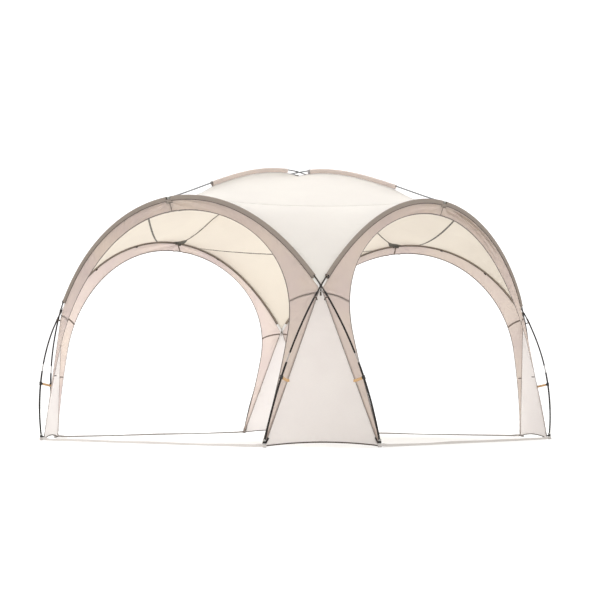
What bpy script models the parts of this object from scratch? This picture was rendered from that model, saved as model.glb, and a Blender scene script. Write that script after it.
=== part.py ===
# Dome canopy tent on four crossing arch poles, with a square plan and an arched opening on each side.
# Frame: metres, +Z up, origin on the ground at the middle of the plan. The front opening faces -Y.
import math

import bmesh
import bpy
import numpy as np
from mathutils import Vector

# Driving dimensions of the pole frame. FAR and NEAR are a foot's distances from the two middle planes
FOOT_FAR = 1.750
FOOT_NEAR = 1.200
ARCH_REACH = 1.512
ARCH_TOP = 1.860
ARCH_LEAN_CURVE = 0.543
CROWN = 2.322
ROOF_POLE_CURVE = 1.390
ROOF_POLE_SHORT = 0.0050
POLE_RADIUS = 0.0055
LEG_RADIUS = 0.0070
LEG_END = 0.0345
FOOT_RADIUS = 0.0130
FOOT_HEIGHT = 0.030
FOOT_STEP = 0.001
CORNER_RISE = 0.52

# Places along a pole, as shares of the quarter turn of an arch or of half a roof pole
LEG_START = 0.022
FERRULE_GAP = 0.0002
CROSS_BLEND = 0.05
CROWN_BLEND = 0.12
SLOPE_STEP = 0.0001
SLEEVE_TOP_GAP = 0.009
SLEEVE_FOOT_GAP = 0.036
ROOF_SLEEVE_START = 0.085
ROOF_SLEEVE_END = 0.70
CORNER_END = 0.016

# Driving dimensions of the cloth
CLOTH = 0.005
SLEEVE_CLOTH = 0.003
SLEEVE_ROUND = 0.0099
SLEEVE_DROP = 0.025
SLEEVE_HEM_HALF = 0.004
BORDER_DROP = 0.0265
ROOF_EDGE_DROP = 0.014
ROOF_EDGE_RISE = 0.008
ROOF_EDGE_IN = 0.0081
ROOF_EDGE_IN_MORE = 0.0038
RIDGE_DROP = 0.0294
SEAM_SAG = 0.050
ROOF_SLACK = 0.020

# Driving dimensions of the openings. OPEN_REACH gives the edge's distance out as a cubic in its height
OPEN_HALF_WIDTH = 1.240
OPEN_TOP = 1.756
OPEN_WIDEST = 0.772
OPEN_FOOT_IN = 0.062
OPEN_REACH = (1.7457, -0.211, -0.1092, 0.0804)
SHOULDER_ANGLE = 1.447
SHOULDER_STEP = 0.02

# Driving dimensions of the foot panels
PANEL_FOOT_REACH = 2.071
PANEL_FOOT_HALF = 0.381
PANEL_TOP_REACH = 2.008
PANEL_TOP_HALF = 0.012
PANEL_TOP = 1.045
PANEL_LIFT = 0.024

# Gaps between touching pieces
GAP = 0.0003
FOLD_GAP = 0.0011
RIDGE_GAP = 0.0019
TAB_GAP = 0.0018

# Straps, ties and clips
STRAP_WIDTH = 0.030
STRAP_CLOTH = 0.004
CLIP_HEIGHT = 0.46
CLIP_INSET = 0.012
CLIP_RADIUS = 0.012
CLIP_LENGTH = 0.024
CLIP_SIDES = 8
HOLE_SIDES = 12
TAB_WIDTH = 0.020
TAB_CLOTH = 0.003
TIE_WIDTH = 0.012
TIE_CLOTH = 0.004
TIE_RISE = 0.012
HEM_HEIGHT = STRAP_CLOTH + 3 * GAP

# Mesh steps: along an arch from its top to the crossing, along a leg, and across each cloth.
# CORNER_CUT is the arch step where the seam of a roof corner starts
ARCH_STEPS = 12
LEG_STEPS = 8
ROOF_RINGS = 10
SEAM_STEPS = 6
CORNER_CUT = 2
BORDER_STEPS = 2
PANEL_STEPS = 6
POLE_BEVEL = 1
SLEEVE_ANGLES = (0, 50, 100)
RELAX_ROUNDS = 400
BISECT_ROUNDS = 40
SMOOTH_ANGLE = math.radians(50)

SIDES = ("front", "right", "back", "left")
CORNERS = ("front_right", "back_right", "back_left", "front_left")

ROOF_WHITE = ("roof_cloth", (0.86, 0.82, 0.74), 0.75, 0.0)
PANEL_CREAM = ("panel_cloth", (0.80, 0.75, 0.67), 0.78, 0.0)
BORDER_TAUPE = ("border_cloth", (0.62, 0.54, 0.47), 0.80, 0.0)
SLEEVE_TAUPE = ("sleeve_cloth", (0.40, 0.34, 0.28), 0.82, 0.0)
POLE_GREY = ("fibreglass", (0.16, 0.16, 0.16), 0.45, 0.0)
LEG_BLACK = ("coated_steel", (0.03, 0.026, 0.022), 0.38, 0.6)
STRAP_GREY = ("strap_webbing", (0.56, 0.52, 0.48), 0.85, 0.0)
TIE_BLACK = ("tie_webbing", (0.05, 0.045, 0.04), 0.80, 0.0)
CLIP_BLACK = ("clip_plastic", (0.04, 0.035, 0.03), 0.50, 0.0)


def clear_scene():
    for item in list(bpy.data.objects):
        bpy.data.objects.remove(item, do_unlink=True)


def material(spec):
    name, colour, roughness, metallic = spec
    found = bpy.data.materials.get(name)
    if found:
        return found
    made = bpy.data.materials.new(name)
    made.use_nodes = True
    shader = made.node_tree.nodes["Principled BSDF"]
    shader.inputs["Base Color"].default_value = (*colour, 1.0)
    shader.inputs["Roughness"].default_value = roughness
    shader.inputs["Metallic"].default_value = metallic
    return made


def collection(name):
    made = bpy.data.collections.new(name)
    bpy.context.scene.collection.children.link(made)
    return made


def add_object(name, mesh, spec, group):
    mesh.materials.append(material(spec))
    mesh.shade_smooth()
    mesh.set_sharp_from_angle(angle=SMOOTH_ANGLE)
    made = bpy.data.objects.new(name, mesh)
    group.objects.link(made)
    return made


def add_mesh(name, verts, faces, spec, group):
    mesh = bpy.data.meshes.new(name)
    mesh.from_pydata([tuple(v) for v in verts], [], faces)
    return add_object(name, mesh, spec, group)


def unit(v):
    return v / np.linalg.norm(v)


def turn(point, side):
    x, y, z = point
    for _ in range(side):
        x, y = -y, x
    return np.array((x, y, z))


# The pole frame: each arch leans out over its own opening and crosses its neighbours at the shoulders
def arch_line(t):
    angle = t * math.pi / 2
    rise = math.cos(angle)
    lean = (1 + ARCH_LEAN_CURVE) * rise - ARCH_LEAN_CURVE * rise * rise
    y = -(FOOT_NEAR + (ARCH_REACH - FOOT_NEAR) * lean)
    return np.array((FOOT_FAR * math.sin(angle), y, ARCH_TOP * rise))


def crossing_step():
    # An arch crosses its neighbour where it is as far right as it is far forward
    low, high = 0.0, 1.0
    for _ in range(BISECT_ROUNDS):
        middle = (low + high) / 2
        x, y, _ = arch_line(middle)
        if x + y < 0:
            low = middle
        else:
            high = middle
    return low


T_CROSS = crossing_step()
CORNER_OUT = unit(np.array((1.0, -1.0, CORNER_RISE)))
PASS = 0.95 * POLE_RADIUS + GAP / 2


def arch_centre(side, t):
    # Front and back arches pass outside the other two where they cross
    way = 1 if side % 2 == 0 else -1
    out = CORNER_OUT * (1 if t > 0 else -1, 1, 1)
    shift = PASS * math.exp(-(((abs(t) - T_CROSS) / CROSS_BLEND) ** 2))
    return arch_line(t) + way * shift * out


def arch_frame(side, t):
    run = unit(arch_centre(side, t + SLOPE_STEP) - arch_centre(side, t - SLOPE_STEP))
    plane = unit(np.array((0.0, -ARCH_TOP, FOOT_NEAR - ARCH_REACH)))
    out = unit(plane - run * np.dot(plane, run))
    up = np.cross(out, run)
    return arch_centre(side, t), up, out


ARCH_TS = [T_CROSS * i / ARCH_STEPS for i in range(-ARCH_STEPS, ARCH_STEPS + 1)]


def arch_at(side, t):
    # Between two steps the arch is straight, so that cloth and pole stay parallel
    place = (t / T_CROSS + 1) * ARCH_STEPS
    i = min(max(int(place), 0), 2 * ARCH_STEPS - 1)
    share = place - i
    start = arch_frame(side, ARCH_TS[i])
    end = arch_frame(side, ARCH_TS[i + 1])
    return tuple(a * (1 - share) + b * share for a, b in zip(start, end))


def arch_offset(side, t, rise, out):
    centre, up, outward = arch_at(side, t)
    return turn(centre + up * rise + outward * out, side)


def roof_pole_centre(side, s):
    # Half a roof pole, from the crown down to the top of one arch
    way = 1 if side % 2 == 0 else -1
    fall = ROOF_POLE_CURVE * s * s - (ROOF_POLE_CURVE - 1) * s ** 4
    lift = way * PASS * math.exp(-((s / CROWN_BLEND) ** 2))
    return np.array((0.0, -ARCH_REACH * s, CROWN - (CROWN - ARCH_TOP) * fall + lift))


def roof_pole_frame(side, s):
    ahead = roof_pole_centre(side, s + SLOPE_STEP)
    run = unit(ahead - roof_pole_centre(side, s - SLOPE_STEP))
    out = np.array((-1.0, 0.0, 0.0))
    return roof_pole_centre(side, s), np.cross(out, run), out


def pole(name, points, radius, scales, spec, group):
    curve = bpy.data.curves.new(name, "CURVE")
    curve.dimensions = "3D"
    curve.bevel_depth = radius
    curve.bevel_resolution = POLE_BEVEL
    curve.use_fill_caps = True
    line = curve.splines.new("POLY")
    line.points.add(len(points) - 1)
    for spot, point, scale in zip(line.points, points, scales):
        spot.co = (*point, 1.0)
        spot.radius = scale
    curve.materials.append(material(spec))
    made = bpy.data.objects.new(name, curve)
    group.objects.link(made)


def add_arch_poles(group):
    end = T_CROSS + LEG_START - FERRULE_GAP
    for side, label in enumerate(SIDES):
        steps = [-end, *ARCH_TS, end]
        points = [turn(arch_centre(side, t), side) for t in steps]
        pole(f"arch_pole_{label}", points, POLE_RADIUS, [1] * len(points), POLE_GREY, group)


def leg_points(side, end):
    # The leg follows the arch, and its last stretch is the upright foot tip
    low = math.acos(LEG_END / ARCH_TOP) * 2 / math.pi
    steps = np.linspace(T_CROSS + LEG_START, low, LEG_STEPS)
    points = [turn(arch_centre(side, end * t), side) for t in steps]
    foot = points[-1]
    for height in (FOOT_HEIGHT - FOOT_STEP, 0.0):
        points.append(np.array((foot[0], foot[1], height)))
    scales = [1] * LEG_STEPS + [FOOT_RADIUS / LEG_RADIUS] * 2
    return points, scales


def add_leg_poles(group):
    for side, label in enumerate(SIDES):
        for end, hand in ((1, "r"), (-1, "l")):
            points, scales = leg_points(side, end)
            pole(f"leg_pole_{label}_{hand}", points, LEG_RADIUS, scales, LEG_BLACK, group)


def add_roof_poles(group):
    tip = 1 - ROOF_POLE_SHORT / ARCH_REACH
    steps = [i / ROOF_RINGS for i in range(ROOF_RINGS)] + [tip]
    for side, name in ((0, "roof_pole_front_back"), (1, "roof_pole_left_right")):
        near = [turn(roof_pole_centre(side, s), side) for s in steps]
        far = [turn(roof_pole_centre(side, s), side + 2) for s in steps[1:]]
        points = far[::-1] + near
        pole(name, points, POLE_RADIUS, [1] * len(points), POLE_GREY, group)


# Cloth: every sheet is an open grid of points, made solid by a modifier
def thicken(made, thickness, offset):
    solid = made.modifiers.new("cloth", "SOLIDIFY")
    solid.thickness = thickness
    solid.offset = offset
    solid.use_even_offset = True


def add_sheet(name, rows, spec, group, thickness=CLOTH):
    wide = len(rows[0])
    verts = [point for row in rows for point in row]
    faces = []
    for j in range(len(rows) - 1):
        for i in range(wide - 1):
            a = j * wide + i
            faces.append((a, a + 1, a + wide + 1, a + wide))
    thicken(add_mesh(name, verts, faces, spec, group), thickness, 0.0)


def sleeve_section():
    # Round over the pole and pinched together at the seam below it, as (up, out) pairs
    angles = [math.radians(angle) for angle in SLEEVE_ANGLES]
    right = [(SLEEVE_ROUND * math.cos(a), SLEEVE_ROUND * math.sin(a)) for a in angles]
    hem = [(-SLEEVE_DROP, SLEEVE_HEM_HALF), (-SLEEVE_DROP, -SLEEVE_HEM_HALF)]
    left = [(up, -out) for up, out in right[:0:-1]]
    return right + hem + left


def add_sleeve(name, frames, group):
    section = sleeve_section()
    count = len(section)
    verts = []
    for centre, up, out in frames:
        verts += [centre + up * rise + out * side for rise, side in section]
    faces = []
    for j in range(len(frames) - 1):
        for i in range(count):
            a, b = j * count + i, j * count + (i + 1) % count
            faces.append((a, b, b + count, a + count))
    thicken(add_mesh(name, verts, faces, SLEEVE_TAUPE, group), SLEEVE_CLOTH, -1.0)


def turned_frame(frame, side):
    return tuple(turn(part, side) for part in frame)


def add_arch_sleeves(group):
    inner = [t for t in ARCH_TS if SLEEVE_TOP_GAP < t < T_CROSS - SLEEVE_FOOT_GAP]
    steps = [SLEEVE_TOP_GAP, *inner, T_CROSS - SLEEVE_FOOT_GAP]
    for side, label in enumerate(SIDES):
        right = [turned_frame(arch_at(side, t), side) for t in steps]
        left = [turned_frame(arch_at(side, -t), side) for t in steps[::-1]]
        add_sleeve(f"arch_sleeve_{label}_r", right, group)
        add_sleeve(f"arch_sleeve_{label}_l", left, group)


def add_roof_sleeves(group):
    rings = [i / ROOF_RINGS for i in range(1, ROOF_RINGS)]
    inner = [s for s in rings if ROOF_SLEEVE_START < s < ROOF_SLEEVE_END]
    steps = [ROOF_SLEEVE_START, *inner, ROOF_SLEEVE_END]
    for side, label in enumerate(SIDES):
        frames = [turned_frame(roof_pole_frame(side, s), side) for s in steps]
        add_sleeve(f"roof_sleeve_{label}", frames, group)


# The roof hangs below the roof poles and is sewn to the inner side of each arch sleeve
def roof_edge(side, t):
    # Higher and further in towards the shoulder, where the roof grows steep
    share = (t / T_CROSS) ** 2
    drop = ROOF_EDGE_DROP - ROOF_EDGE_RISE * share
    return arch_offset(side, t, -drop, -ROOF_EDGE_IN - ROOF_EDGE_IN_MORE * share)


def ridge_point(side, s):
    if s >= 1:
        return roof_edge(side, 0)
    centre, up, _ = roof_pole_frame(side, s)
    drop = RIDGE_DROP
    if s > ROOF_SLEEVE_END:
        share = (s - ROOF_SLEEVE_END) / (1 - ROOF_SLEEVE_END)
        drop += ROOF_SLACK * math.sin(math.pi * share)
    return turn(centre - up * drop, side)


def seam_row(corner, inset):
    # The seam that cuts off a roof corner, set back towards one of its two sheets
    first = roof_edge(corner, ARCH_TS[ARCH_STEPS + CORNER_CUT])
    last = roof_edge(corner + 1, ARCH_TS[ARCH_STEPS - CORNER_CUT])
    shift = turn(np.array((1.0, -1.0, 0.0)), corner) / math.sqrt(2) * inset
    row = []
    for i in range(SEAM_STEPS + 1):
        share = i / SEAM_STEPS
        sag = np.array((0.0, 0.0, 4 * SEAM_SAG * share * (1 - share)))
        row.append(first * (1 - share) + last * share - sag + shift)
    return row


def relax(grid):
    # Taut cloth: each free point moves to the middle of its four neighbours
    for _ in range(RELAX_ROUNDS):
        grid[1:-1, 1:-1] = (grid[2:, 1:-1] + grid[:-2, 1:-1] + grid[1:-1, 2:] + grid[1:-1, :-2]) / 4
    return grid


def roof_quarter(corner):
    # The grid runs from the crown to the rim, and from one roof pole round to the next
    start = [roof_edge(corner, ARCH_TS[ARCH_STEPS + i]) for i in range(CORNER_CUT)]
    end = [roof_edge(corner + 1, ARCH_TS[ARCH_STEPS - i]) for i in range(CORNER_CUT)]
    rim = np.array(start + seam_row(corner, -GAP) + end[::-1])
    crown = roof_pole_frame(1, 0)[0] - np.array((0, 0, RIDGE_DROP))
    first = turn(np.array((RIDGE_GAP, 0, 0)), corner)
    last = turn(np.array((0, -RIDGE_GAP, 0)), corner)
    grid = np.zeros((ROOF_RINGS + 1, len(rim), 3))
    for j in range(ROOF_RINGS + 1):
        share = j / ROOF_RINGS
        grid[j] = crown * (1 - share) + rim * share
        grid[j, 0] = (ridge_point(corner, share) if j else crown) + first
        grid[j, -1] = (ridge_point(corner + 1, share) if j else crown) + last
    grid[0] = crown + first + last
    return relax(grid)


def add_roof_quarters(group):
    for corner, label in enumerate(CORNERS):
        grid = roof_quarter(corner)
        count = len(grid[0])
        verts = [grid[0, 0], *(point for ring in grid[1:] for point in ring)]
        faces = [(0, 2 + i, 1 + i) for i in range(count - 1)]
        for j in range(ROOF_RINGS - 1):
            for i in range(count - 1):
                a = 1 + j * count + i
                faces.append((a, a + 1, a + count + 1, a + count))
        thicken(add_mesh(f"roof_quarter_{label}", verts, faces, ROOF_WHITE, group), CLOTH, 0.0)


def add_roof_corners(group):
    start = ARCH_TS[ARCH_STEPS + CORNER_CUT]
    end = T_CROSS - CORNER_END
    inner = [t for t in ARCH_TS if start < t < end]
    steps = [start, *inner, end]
    for corner, label in enumerate(CORNERS):
        rows = [seam_row(corner, GAP)]
        for t in steps[1:]:
            share = (t - start) / (end - start)
            left, right = roof_edge(corner, t), roof_edge((corner + 1) % 4, -t)
            sag = 4 * SEAM_SAG * (1 - share ** 2)
            row = []
            for i in range(SEAM_STEPS + 1):
                s = i / SEAM_STEPS
                row.append(left * (1 - s) + right * s - np.array((0, 0, sag * s * (1 - s))))
            rows.append(row)
        add_sheet(f"roof_corner_{label}", rows, ROOF_WHITE, group)


# Foot panels and borders share a fold line that runs from the shoulder to the ground
def panel_point(corner, height, along):
    # height runs from 0 at the hem to 1 at the shoulder, along from -1 to 1 between the folds
    reach = PANEL_FOOT_REACH + (PANEL_TOP_REACH - PANEL_FOOT_REACH) * height
    half = PANEL_FOOT_HALF + (PANEL_TOP_HALF - PANEL_FOOT_HALF) * height
    hem = HEM_HEIGHT + PANEL_LIFT * (1 - along * along)
    z = hem + (PANEL_TOP - hem) * height
    out = np.array((1.0, -1.0, 0.0)) / math.sqrt(2)
    side = np.array((1.0, 1.0, 0.0)) / math.sqrt(2)
    return out * reach + side * half * along + np.array((0, 0, z)), side


def add_foot_panels(group):
    for corner, label in enumerate(CORNERS):
        rows = []
        for height in np.linspace(0, 1, PANEL_STEPS + 1):
            row = []
            for along in np.linspace(-1, 1, PANEL_STEPS + 1):
                point, side = panel_point(corner, height, along)
                row.append(turn(point - side * along * FOLD_GAP, corner))
            rows.append(row)
        add_sheet(f"foot_panel_{label}", rows, PANEL_CREAM, group)


def opening_edge(z, hand):
    # Half an ellipse above the widest place, and drawn in a little towards the ground below it
    rise = (z - OPEN_WIDEST) / (OPEN_TOP - OPEN_WIDEST)
    if rise > 0:
        x = OPEN_HALF_WIDTH * math.sqrt(max(0.0, 1 - rise * rise))
    else:
        x = OPEN_HALF_WIDTH - OPEN_FOOT_IN * (1 - z / OPEN_WIDEST) ** 2
    reach = sum(factor * z ** power for power, factor in enumerate(OPEN_REACH))
    return np.array((hand * x, -reach, z))


def border_rows(side):
    # Rows across the border, from the left foot over the top to the right foot, seen from outside
    drop = OPEN_TOP - OPEN_WIDEST
    shoulder = OPEN_WIDEST + drop * math.cos(SHOULDER_ANGLE) - SHOULDER_STEP
    left_leg, right_leg = [], []
    for share in np.linspace(0, 1, LEG_STEPS):
        for corner, hand, leg in ((side - 1, -1, left_leg), (side, 1, right_leg)):
            point, along = panel_point(corner % 4, share, -hand)
            fold = turn(point - along * hand * FOLD_GAP, corner % 4)
            height = HEM_HEIGHT + (shoulder - HEM_HEIGHT) * share
            leg.append((fold, turn(opening_edge(height, hand), side)))
    arch = []
    for t in ARCH_TS:
        height = OPEN_WIDEST + drop * math.cos(SHOULDER_ANGLE * t / T_CROSS)
        edge = opening_edge(height, 1 if t > 0 else -1)
        arch.append((arch_offset(side, t, -BORDER_DROP, 0), turn(edge, side)))
    rows = []
    for outer, inner in left_leg + arch + right_leg[::-1]:
        shares = np.linspace(0, 1, BORDER_STEPS + 1)
        rows.append([outer * (1 - share) + inner * share for share in shares])
    return rows


def add_borders(group):
    for side, label in enumerate(SIDES):
        add_sheet(f"arch_border_{label}", border_rows(side), BORDER_TAUPE, group)


# Fastenings: straps on the ground, ties at the shoulders, clips on the legs
def primitive(name, build, spec, group):
    mesh = bpy.data.meshes.new(name)
    work = bmesh.new()
    build(work)
    work.normal_update()
    bmesh.ops.recalc_face_normals(work, faces=work.faces)
    work.to_mesh(mesh)
    work.free()
    return add_object(name, mesh, spec, group)


def box(name, centre, axes, sizes, spec, group):
    # axes are three unit vectors, sizes the full lengths along them
    def build(work):
        bmesh.ops.create_cube(work, size=1.0)
        for vert in work.verts:
            place = sum((axis * size * co for axis, size, co in zip(axes, sizes, vert.co)), centre)
            vert.co = Vector(place)
    return primitive(name, build, spec, group)


def rod(name, centre, run, radius, length, sides, spec, group):
    def build(work):
        bmesh.ops.create_cone(
            work, cap_ends=True, segments=sides, radius1=radius, radius2=radius, depth=length
        )
        spin = Vector((0, 0, 1)).rotation_difference(Vector(run)).to_matrix()
        for vert in work.verts:
            vert.co = spin @ vert.co + Vector(centre)
    return primitive(name, build, spec, group)


def add_ground_straps(group):
    foot = leg_points(1, -1)[0][-1]
    length = 2 * (foot[0] - FOOT_RADIUS - GAP)
    centre = np.array((0.0, foot[1], STRAP_CLOTH / 2))
    for side, label in enumerate(SIDES):
        axes = [turn(np.eye(3)[i], side) for i in range(3)]
        sizes = (length, STRAP_WIDTH, STRAP_CLOTH)
        box(f"ground_strap_{label}", turn(centre, side), axes, sizes, STRAP_GREY, group)


def add_shoulder_ties(group):
    crossing = arch_line(T_CROSS)
    across = unit(np.array((1.0, 1.0, 0.0)))
    up = np.cross(CORNER_OUT, across)
    depth = PASS + POLE_RADIUS + GAP + TIE_CLOTH / 2
    top = crossing - CORNER_OUT * depth
    out = unit(np.array((1.0, -1.0, 0.0)))
    foot = out * PANEL_TOP_REACH + np.array((0, 0, PANEL_TOP + 2 * GAP))
    for corner, label in enumerate(CORNERS):
        rows = []
        for point in (top + up * TIE_RISE, top - up * TIE_RISE, foot):
            ends = (point - across * TIE_WIDTH / 2, point + across * TIE_WIDTH / 2)
            rows.append([turn(end, corner) for end in ends])
        add_sheet(f"shoulder_tie_{label}", rows, TIE_BLACK, group, TIE_CLOTH)


def add_leg_clips(group, cutters):
    for side, label in enumerate(SIDES):
        for end, hand in ((1, "r"), (-1, "l")):
            points = leg_points(side, end)[0][:LEG_STEPS]
            low = next(i for i, point in enumerate(points) if point[2] < CLIP_HEIGHT)
            above, below = points[low - 1], points[low]
            share = (above[2] - CLIP_HEIGHT) / (above[2] - below[2])
            centre = above * (1 - share) + below * share
            run = unit(below - above)
            corner = side if end > 0 else (side - 1) % 4
            inset = 1 - CLIP_INSET / PANEL_FOOT_HALF
            edge, _ = panel_point(corner, CLIP_HEIGHT / PANEL_TOP, end * inset)
            out = np.array((1.0, -1.0, 0.0)) / math.sqrt(2)
            edge = turn(edge + out * (CLOTH / 2 + TAB_CLOTH / 2 + TAB_GAP), corner)
            reach = edge - centre
            reach -= run * np.dot(reach, run)
            way = unit(reach)
            length = np.linalg.norm(reach)
            axes = (way, run, np.cross(way, run))
            name = f"leg_clip_{label}_{hand}"
            ring = rod(name, centre, run, CLIP_RADIUS, CLIP_LENGTH, CLIP_SIDES, CLIP_BLACK, group)
            tab = box(
                f"tab_{name}", centre + way * length / 2, axes, (length, TAB_WIDTH, TAB_CLOTH),
                CLIP_BLACK, cutters,
            )
            hole = rod(
                f"hole_{name}", centre, run, LEG_RADIUS + 2 * GAP, 2 * CLIP_LENGTH, HOLE_SIDES,
                CLIP_BLACK, cutters,
            )
            for other, mode in ((tab, "UNION"), (hole, "DIFFERENCE")):
                other.hide_render = True
                other.display_type = "WIRE"
                cut = ring.modifiers.new(mode.lower(), "BOOLEAN")
                cut.object = other
                cut.operation = mode
                cut.solver = "EXACT"


clear_scene()
tent = collection("beach_tent")
guides = collection("clip_guides")
add_roof_quarters(tent)
add_roof_corners(tent)
add_borders(tent)
add_foot_panels(tent)
add_arch_poles(tent)
add_leg_poles(tent)
add_roof_poles(tent)
add_arch_sleeves(tent)
add_roof_sleeves(tent)
add_ground_straps(tent)
add_shoulder_ties(tent)
add_leg_clips(tent, guides)
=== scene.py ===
import math

import bmesh
import bpy
import numpy as np
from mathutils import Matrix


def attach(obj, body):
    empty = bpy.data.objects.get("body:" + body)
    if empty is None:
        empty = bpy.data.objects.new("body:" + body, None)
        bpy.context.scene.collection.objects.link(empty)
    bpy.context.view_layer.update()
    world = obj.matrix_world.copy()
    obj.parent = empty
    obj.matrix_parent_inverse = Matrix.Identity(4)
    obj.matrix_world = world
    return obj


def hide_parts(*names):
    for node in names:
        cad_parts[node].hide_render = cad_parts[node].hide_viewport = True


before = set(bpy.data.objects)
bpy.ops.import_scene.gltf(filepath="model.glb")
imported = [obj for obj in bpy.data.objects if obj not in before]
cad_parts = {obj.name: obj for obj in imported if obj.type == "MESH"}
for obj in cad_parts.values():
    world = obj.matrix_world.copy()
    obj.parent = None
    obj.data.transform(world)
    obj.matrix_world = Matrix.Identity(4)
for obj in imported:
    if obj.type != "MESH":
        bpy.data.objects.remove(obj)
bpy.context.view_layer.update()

# The stage. A white studio floor and an even white sky, with one very soft lamp high on the right.
# The camera stands low, a little to the right of the tent's front right corner, and looks slightly up.
CAMERA_DISTANCE = 9.0715
CAMERA_HEIGHT = 0.2529
CAMERA_AZIMUTH = math.radians(40.3648)
CAMERA_YAW = math.radians(40.186)
CAMERA_PITCH = math.radians(5.912)
CAMERA_LENS = 63.03
FLOOR_SIZE = 400.0
FLOOR_WHITE = (0.93, 0.93, 0.925)
SKY_STRENGTH = 1.27
SUN_STRENGTH = 2.15
SUN_SPREAD = math.radians(35)
SUN_TURN = (math.radians(42), 0.0, math.radians(-95))


def new_material(name, colour, roughness, metallic=0.0, specular=0.5):
    made = bpy.data.materials.new(name)
    made.use_nodes = True
    shader = made.node_tree.nodes["Principled BSDF"]
    shader.inputs["Base Color"].default_value = (*colour, 1.0)
    shader.inputs["Roughness"].default_value = roughness
    shader.inputs["Metallic"].default_value = metallic
    shader.inputs["Specular IOR Level"].default_value = specular
    return made, made.node_tree.nodes, made.node_tree.links, shader


view = bpy.data.cameras.new("camera")
view.lens = CAMERA_LENS
view.clip_end = 1000.0
camera = bpy.data.objects.new("camera", view)
camera.location = (
    CAMERA_DISTANCE * math.sin(CAMERA_AZIMUTH),
    -CAMERA_DISTANCE * math.cos(CAMERA_AZIMUTH),
    CAMERA_HEIGHT,
)
camera.rotation_euler = (math.pi / 2 + CAMERA_PITCH, 0.0, CAMERA_YAW)
bpy.context.scene.collection.objects.link(camera)
bpy.context.scene.camera = camera
bpy.context.scene.view_settings.view_transform = "Standard"

floor_mesh = bpy.data.meshes.new("studio_floor")
floor_mesh.from_pydata(
    [(x * FLOOR_SIZE, y * FLOOR_SIZE, 0.0) for x, y in ((-1, -1), (1, -1), (1, 1), (-1, 1))],
    [],
    [(0, 1, 2, 3)],
)
floor_mesh.materials.append(new_material("floor_white", FLOOR_WHITE, 0.95, specular=0.2)[0])
studio_floor = bpy.data.objects.new("studio_floor", floor_mesh)
bpy.context.scene.collection.objects.link(studio_floor)

sky = bpy.data.worlds.new("studio_sky")
sky.use_nodes = True
sky.node_tree.nodes["Background"].inputs["Color"].default_value = (1.0, 1.0, 1.0, 1.0)
sky.node_tree.nodes["Background"].inputs["Strength"].default_value = SKY_STRENGTH
bpy.context.scene.world = sky

sun = bpy.data.lights.new("soft_sun", "SUN")
sun.energy = SUN_STRENGTH
sun.angle = SUN_SPREAD
soft_sun = bpy.data.objects.new("soft_sun", sun)
soft_sun.rotation_euler = SUN_TURN
bpy.context.scene.collection.objects.link(soft_sun)

# The arch poles. Four black fibreglass rods, each bent over its own opening and leaning out over it.
# Every pair crosses at a shoulder, where a black elastic lashing holds the front or back rod outside.
SIDES = ("front", "right", "back", "left")
CORNERS = ("front_right", "back_right", "back_left", "front_left")
FOOT_FAR = 1.750
FOOT_NEAR = 1.200
ARCH_REACH = 1.512
ARCH_TOP = 1.860
ARCH_LEAN_CURVE = 0.543
POLE_RADIUS = 0.0055
POLE_PASS = 0.95 * POLE_RADIUS + 0.00015
CORNER_RISE = 0.52
CROSS_BLEND = 0.05
LEG_START = 0.022
SLOPE_STEP = 0.0001
ARCH_ROD_POINTS = 90
LASHING_CORD = 0.0008
LASHING_TURNS = 2
FIBREGLASS_BLACK = (0.035, 0.029, 0.025)
ELASTIC_BLACK = (0.022, 0.020, 0.019)


def spin(points, quarters):
    # Turns points by quarter turns about the tent's middle
    x, y, z = np.moveaxis(np.asarray(points, float), -1, 0)
    for _ in range(quarters % 4):
        x, y = -y, x
    return np.stack((x, y, z), axis=-1)


def unit(vectors):
    return vectors / np.maximum(np.linalg.norm(vectors, axis=-1, keepdims=True), 1e-12)


def arch_line(t):
    # t runs from -1 at the left foot over 0 at the top to 1 at the right foot
    rise = np.cos(t * math.pi / 2)
    lean = (1 + ARCH_LEAN_CURVE) * rise - ARCH_LEAN_CURVE * rise**2
    reach = FOOT_NEAR + (ARCH_REACH - FOOT_NEAR) * lean
    return np.stack((FOOT_FAR * np.sin(t * math.pi / 2), -reach, ARCH_TOP * rise), axis=-1)


trial = np.linspace(0.3, 0.9, 6001)
CROSSING = float(np.interp(0.0, arch_line(trial)[:, :2].sum(axis=1), trial))
CORNER_OUT = unit(np.array((1.0, -1.0, CORNER_RISE)))


def arch_centre(side, t):
    # The rod's middle, pushed out or in where it passes the next arch
    t = np.asarray(t, float)
    way = 1 if side % 2 == 0 else -1
    shift = way * POLE_PASS * np.exp(-(((np.abs(t) - CROSSING) / CROSS_BLEND) ** 2))
    hand = np.where(t > 0, CORNER_OUT[0], -CORNER_OUT[0])
    out = np.stack((hand, np.full_like(t, CORNER_OUT[1]), np.full_like(t, CORNER_OUT[2])), axis=-1)
    return arch_line(t) + shift[..., None] * out


def arch_frame(side, t):
    # The rod's middle, with the directions away from the opening and out through it
    t = np.asarray(t, float)
    run = unit(arch_centre(side, t + SLOPE_STEP) - arch_centre(side, t - SLOPE_STEP))
    plane = unit(np.array((0.0, -ARCH_TOP, FOOT_NEAR - ARCH_REACH)))
    out = unit(plane - run * (run @ plane)[..., None])
    return arch_centre(side, t), np.cross(out, run), out


def arch_offset(side, t, rise, out):
    centre, up, outward = arch_frame(side, t)
    return spin(centre + up * np.expand_dims(rise, -1) + outward * np.expand_dims(out, -1), side)


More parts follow.
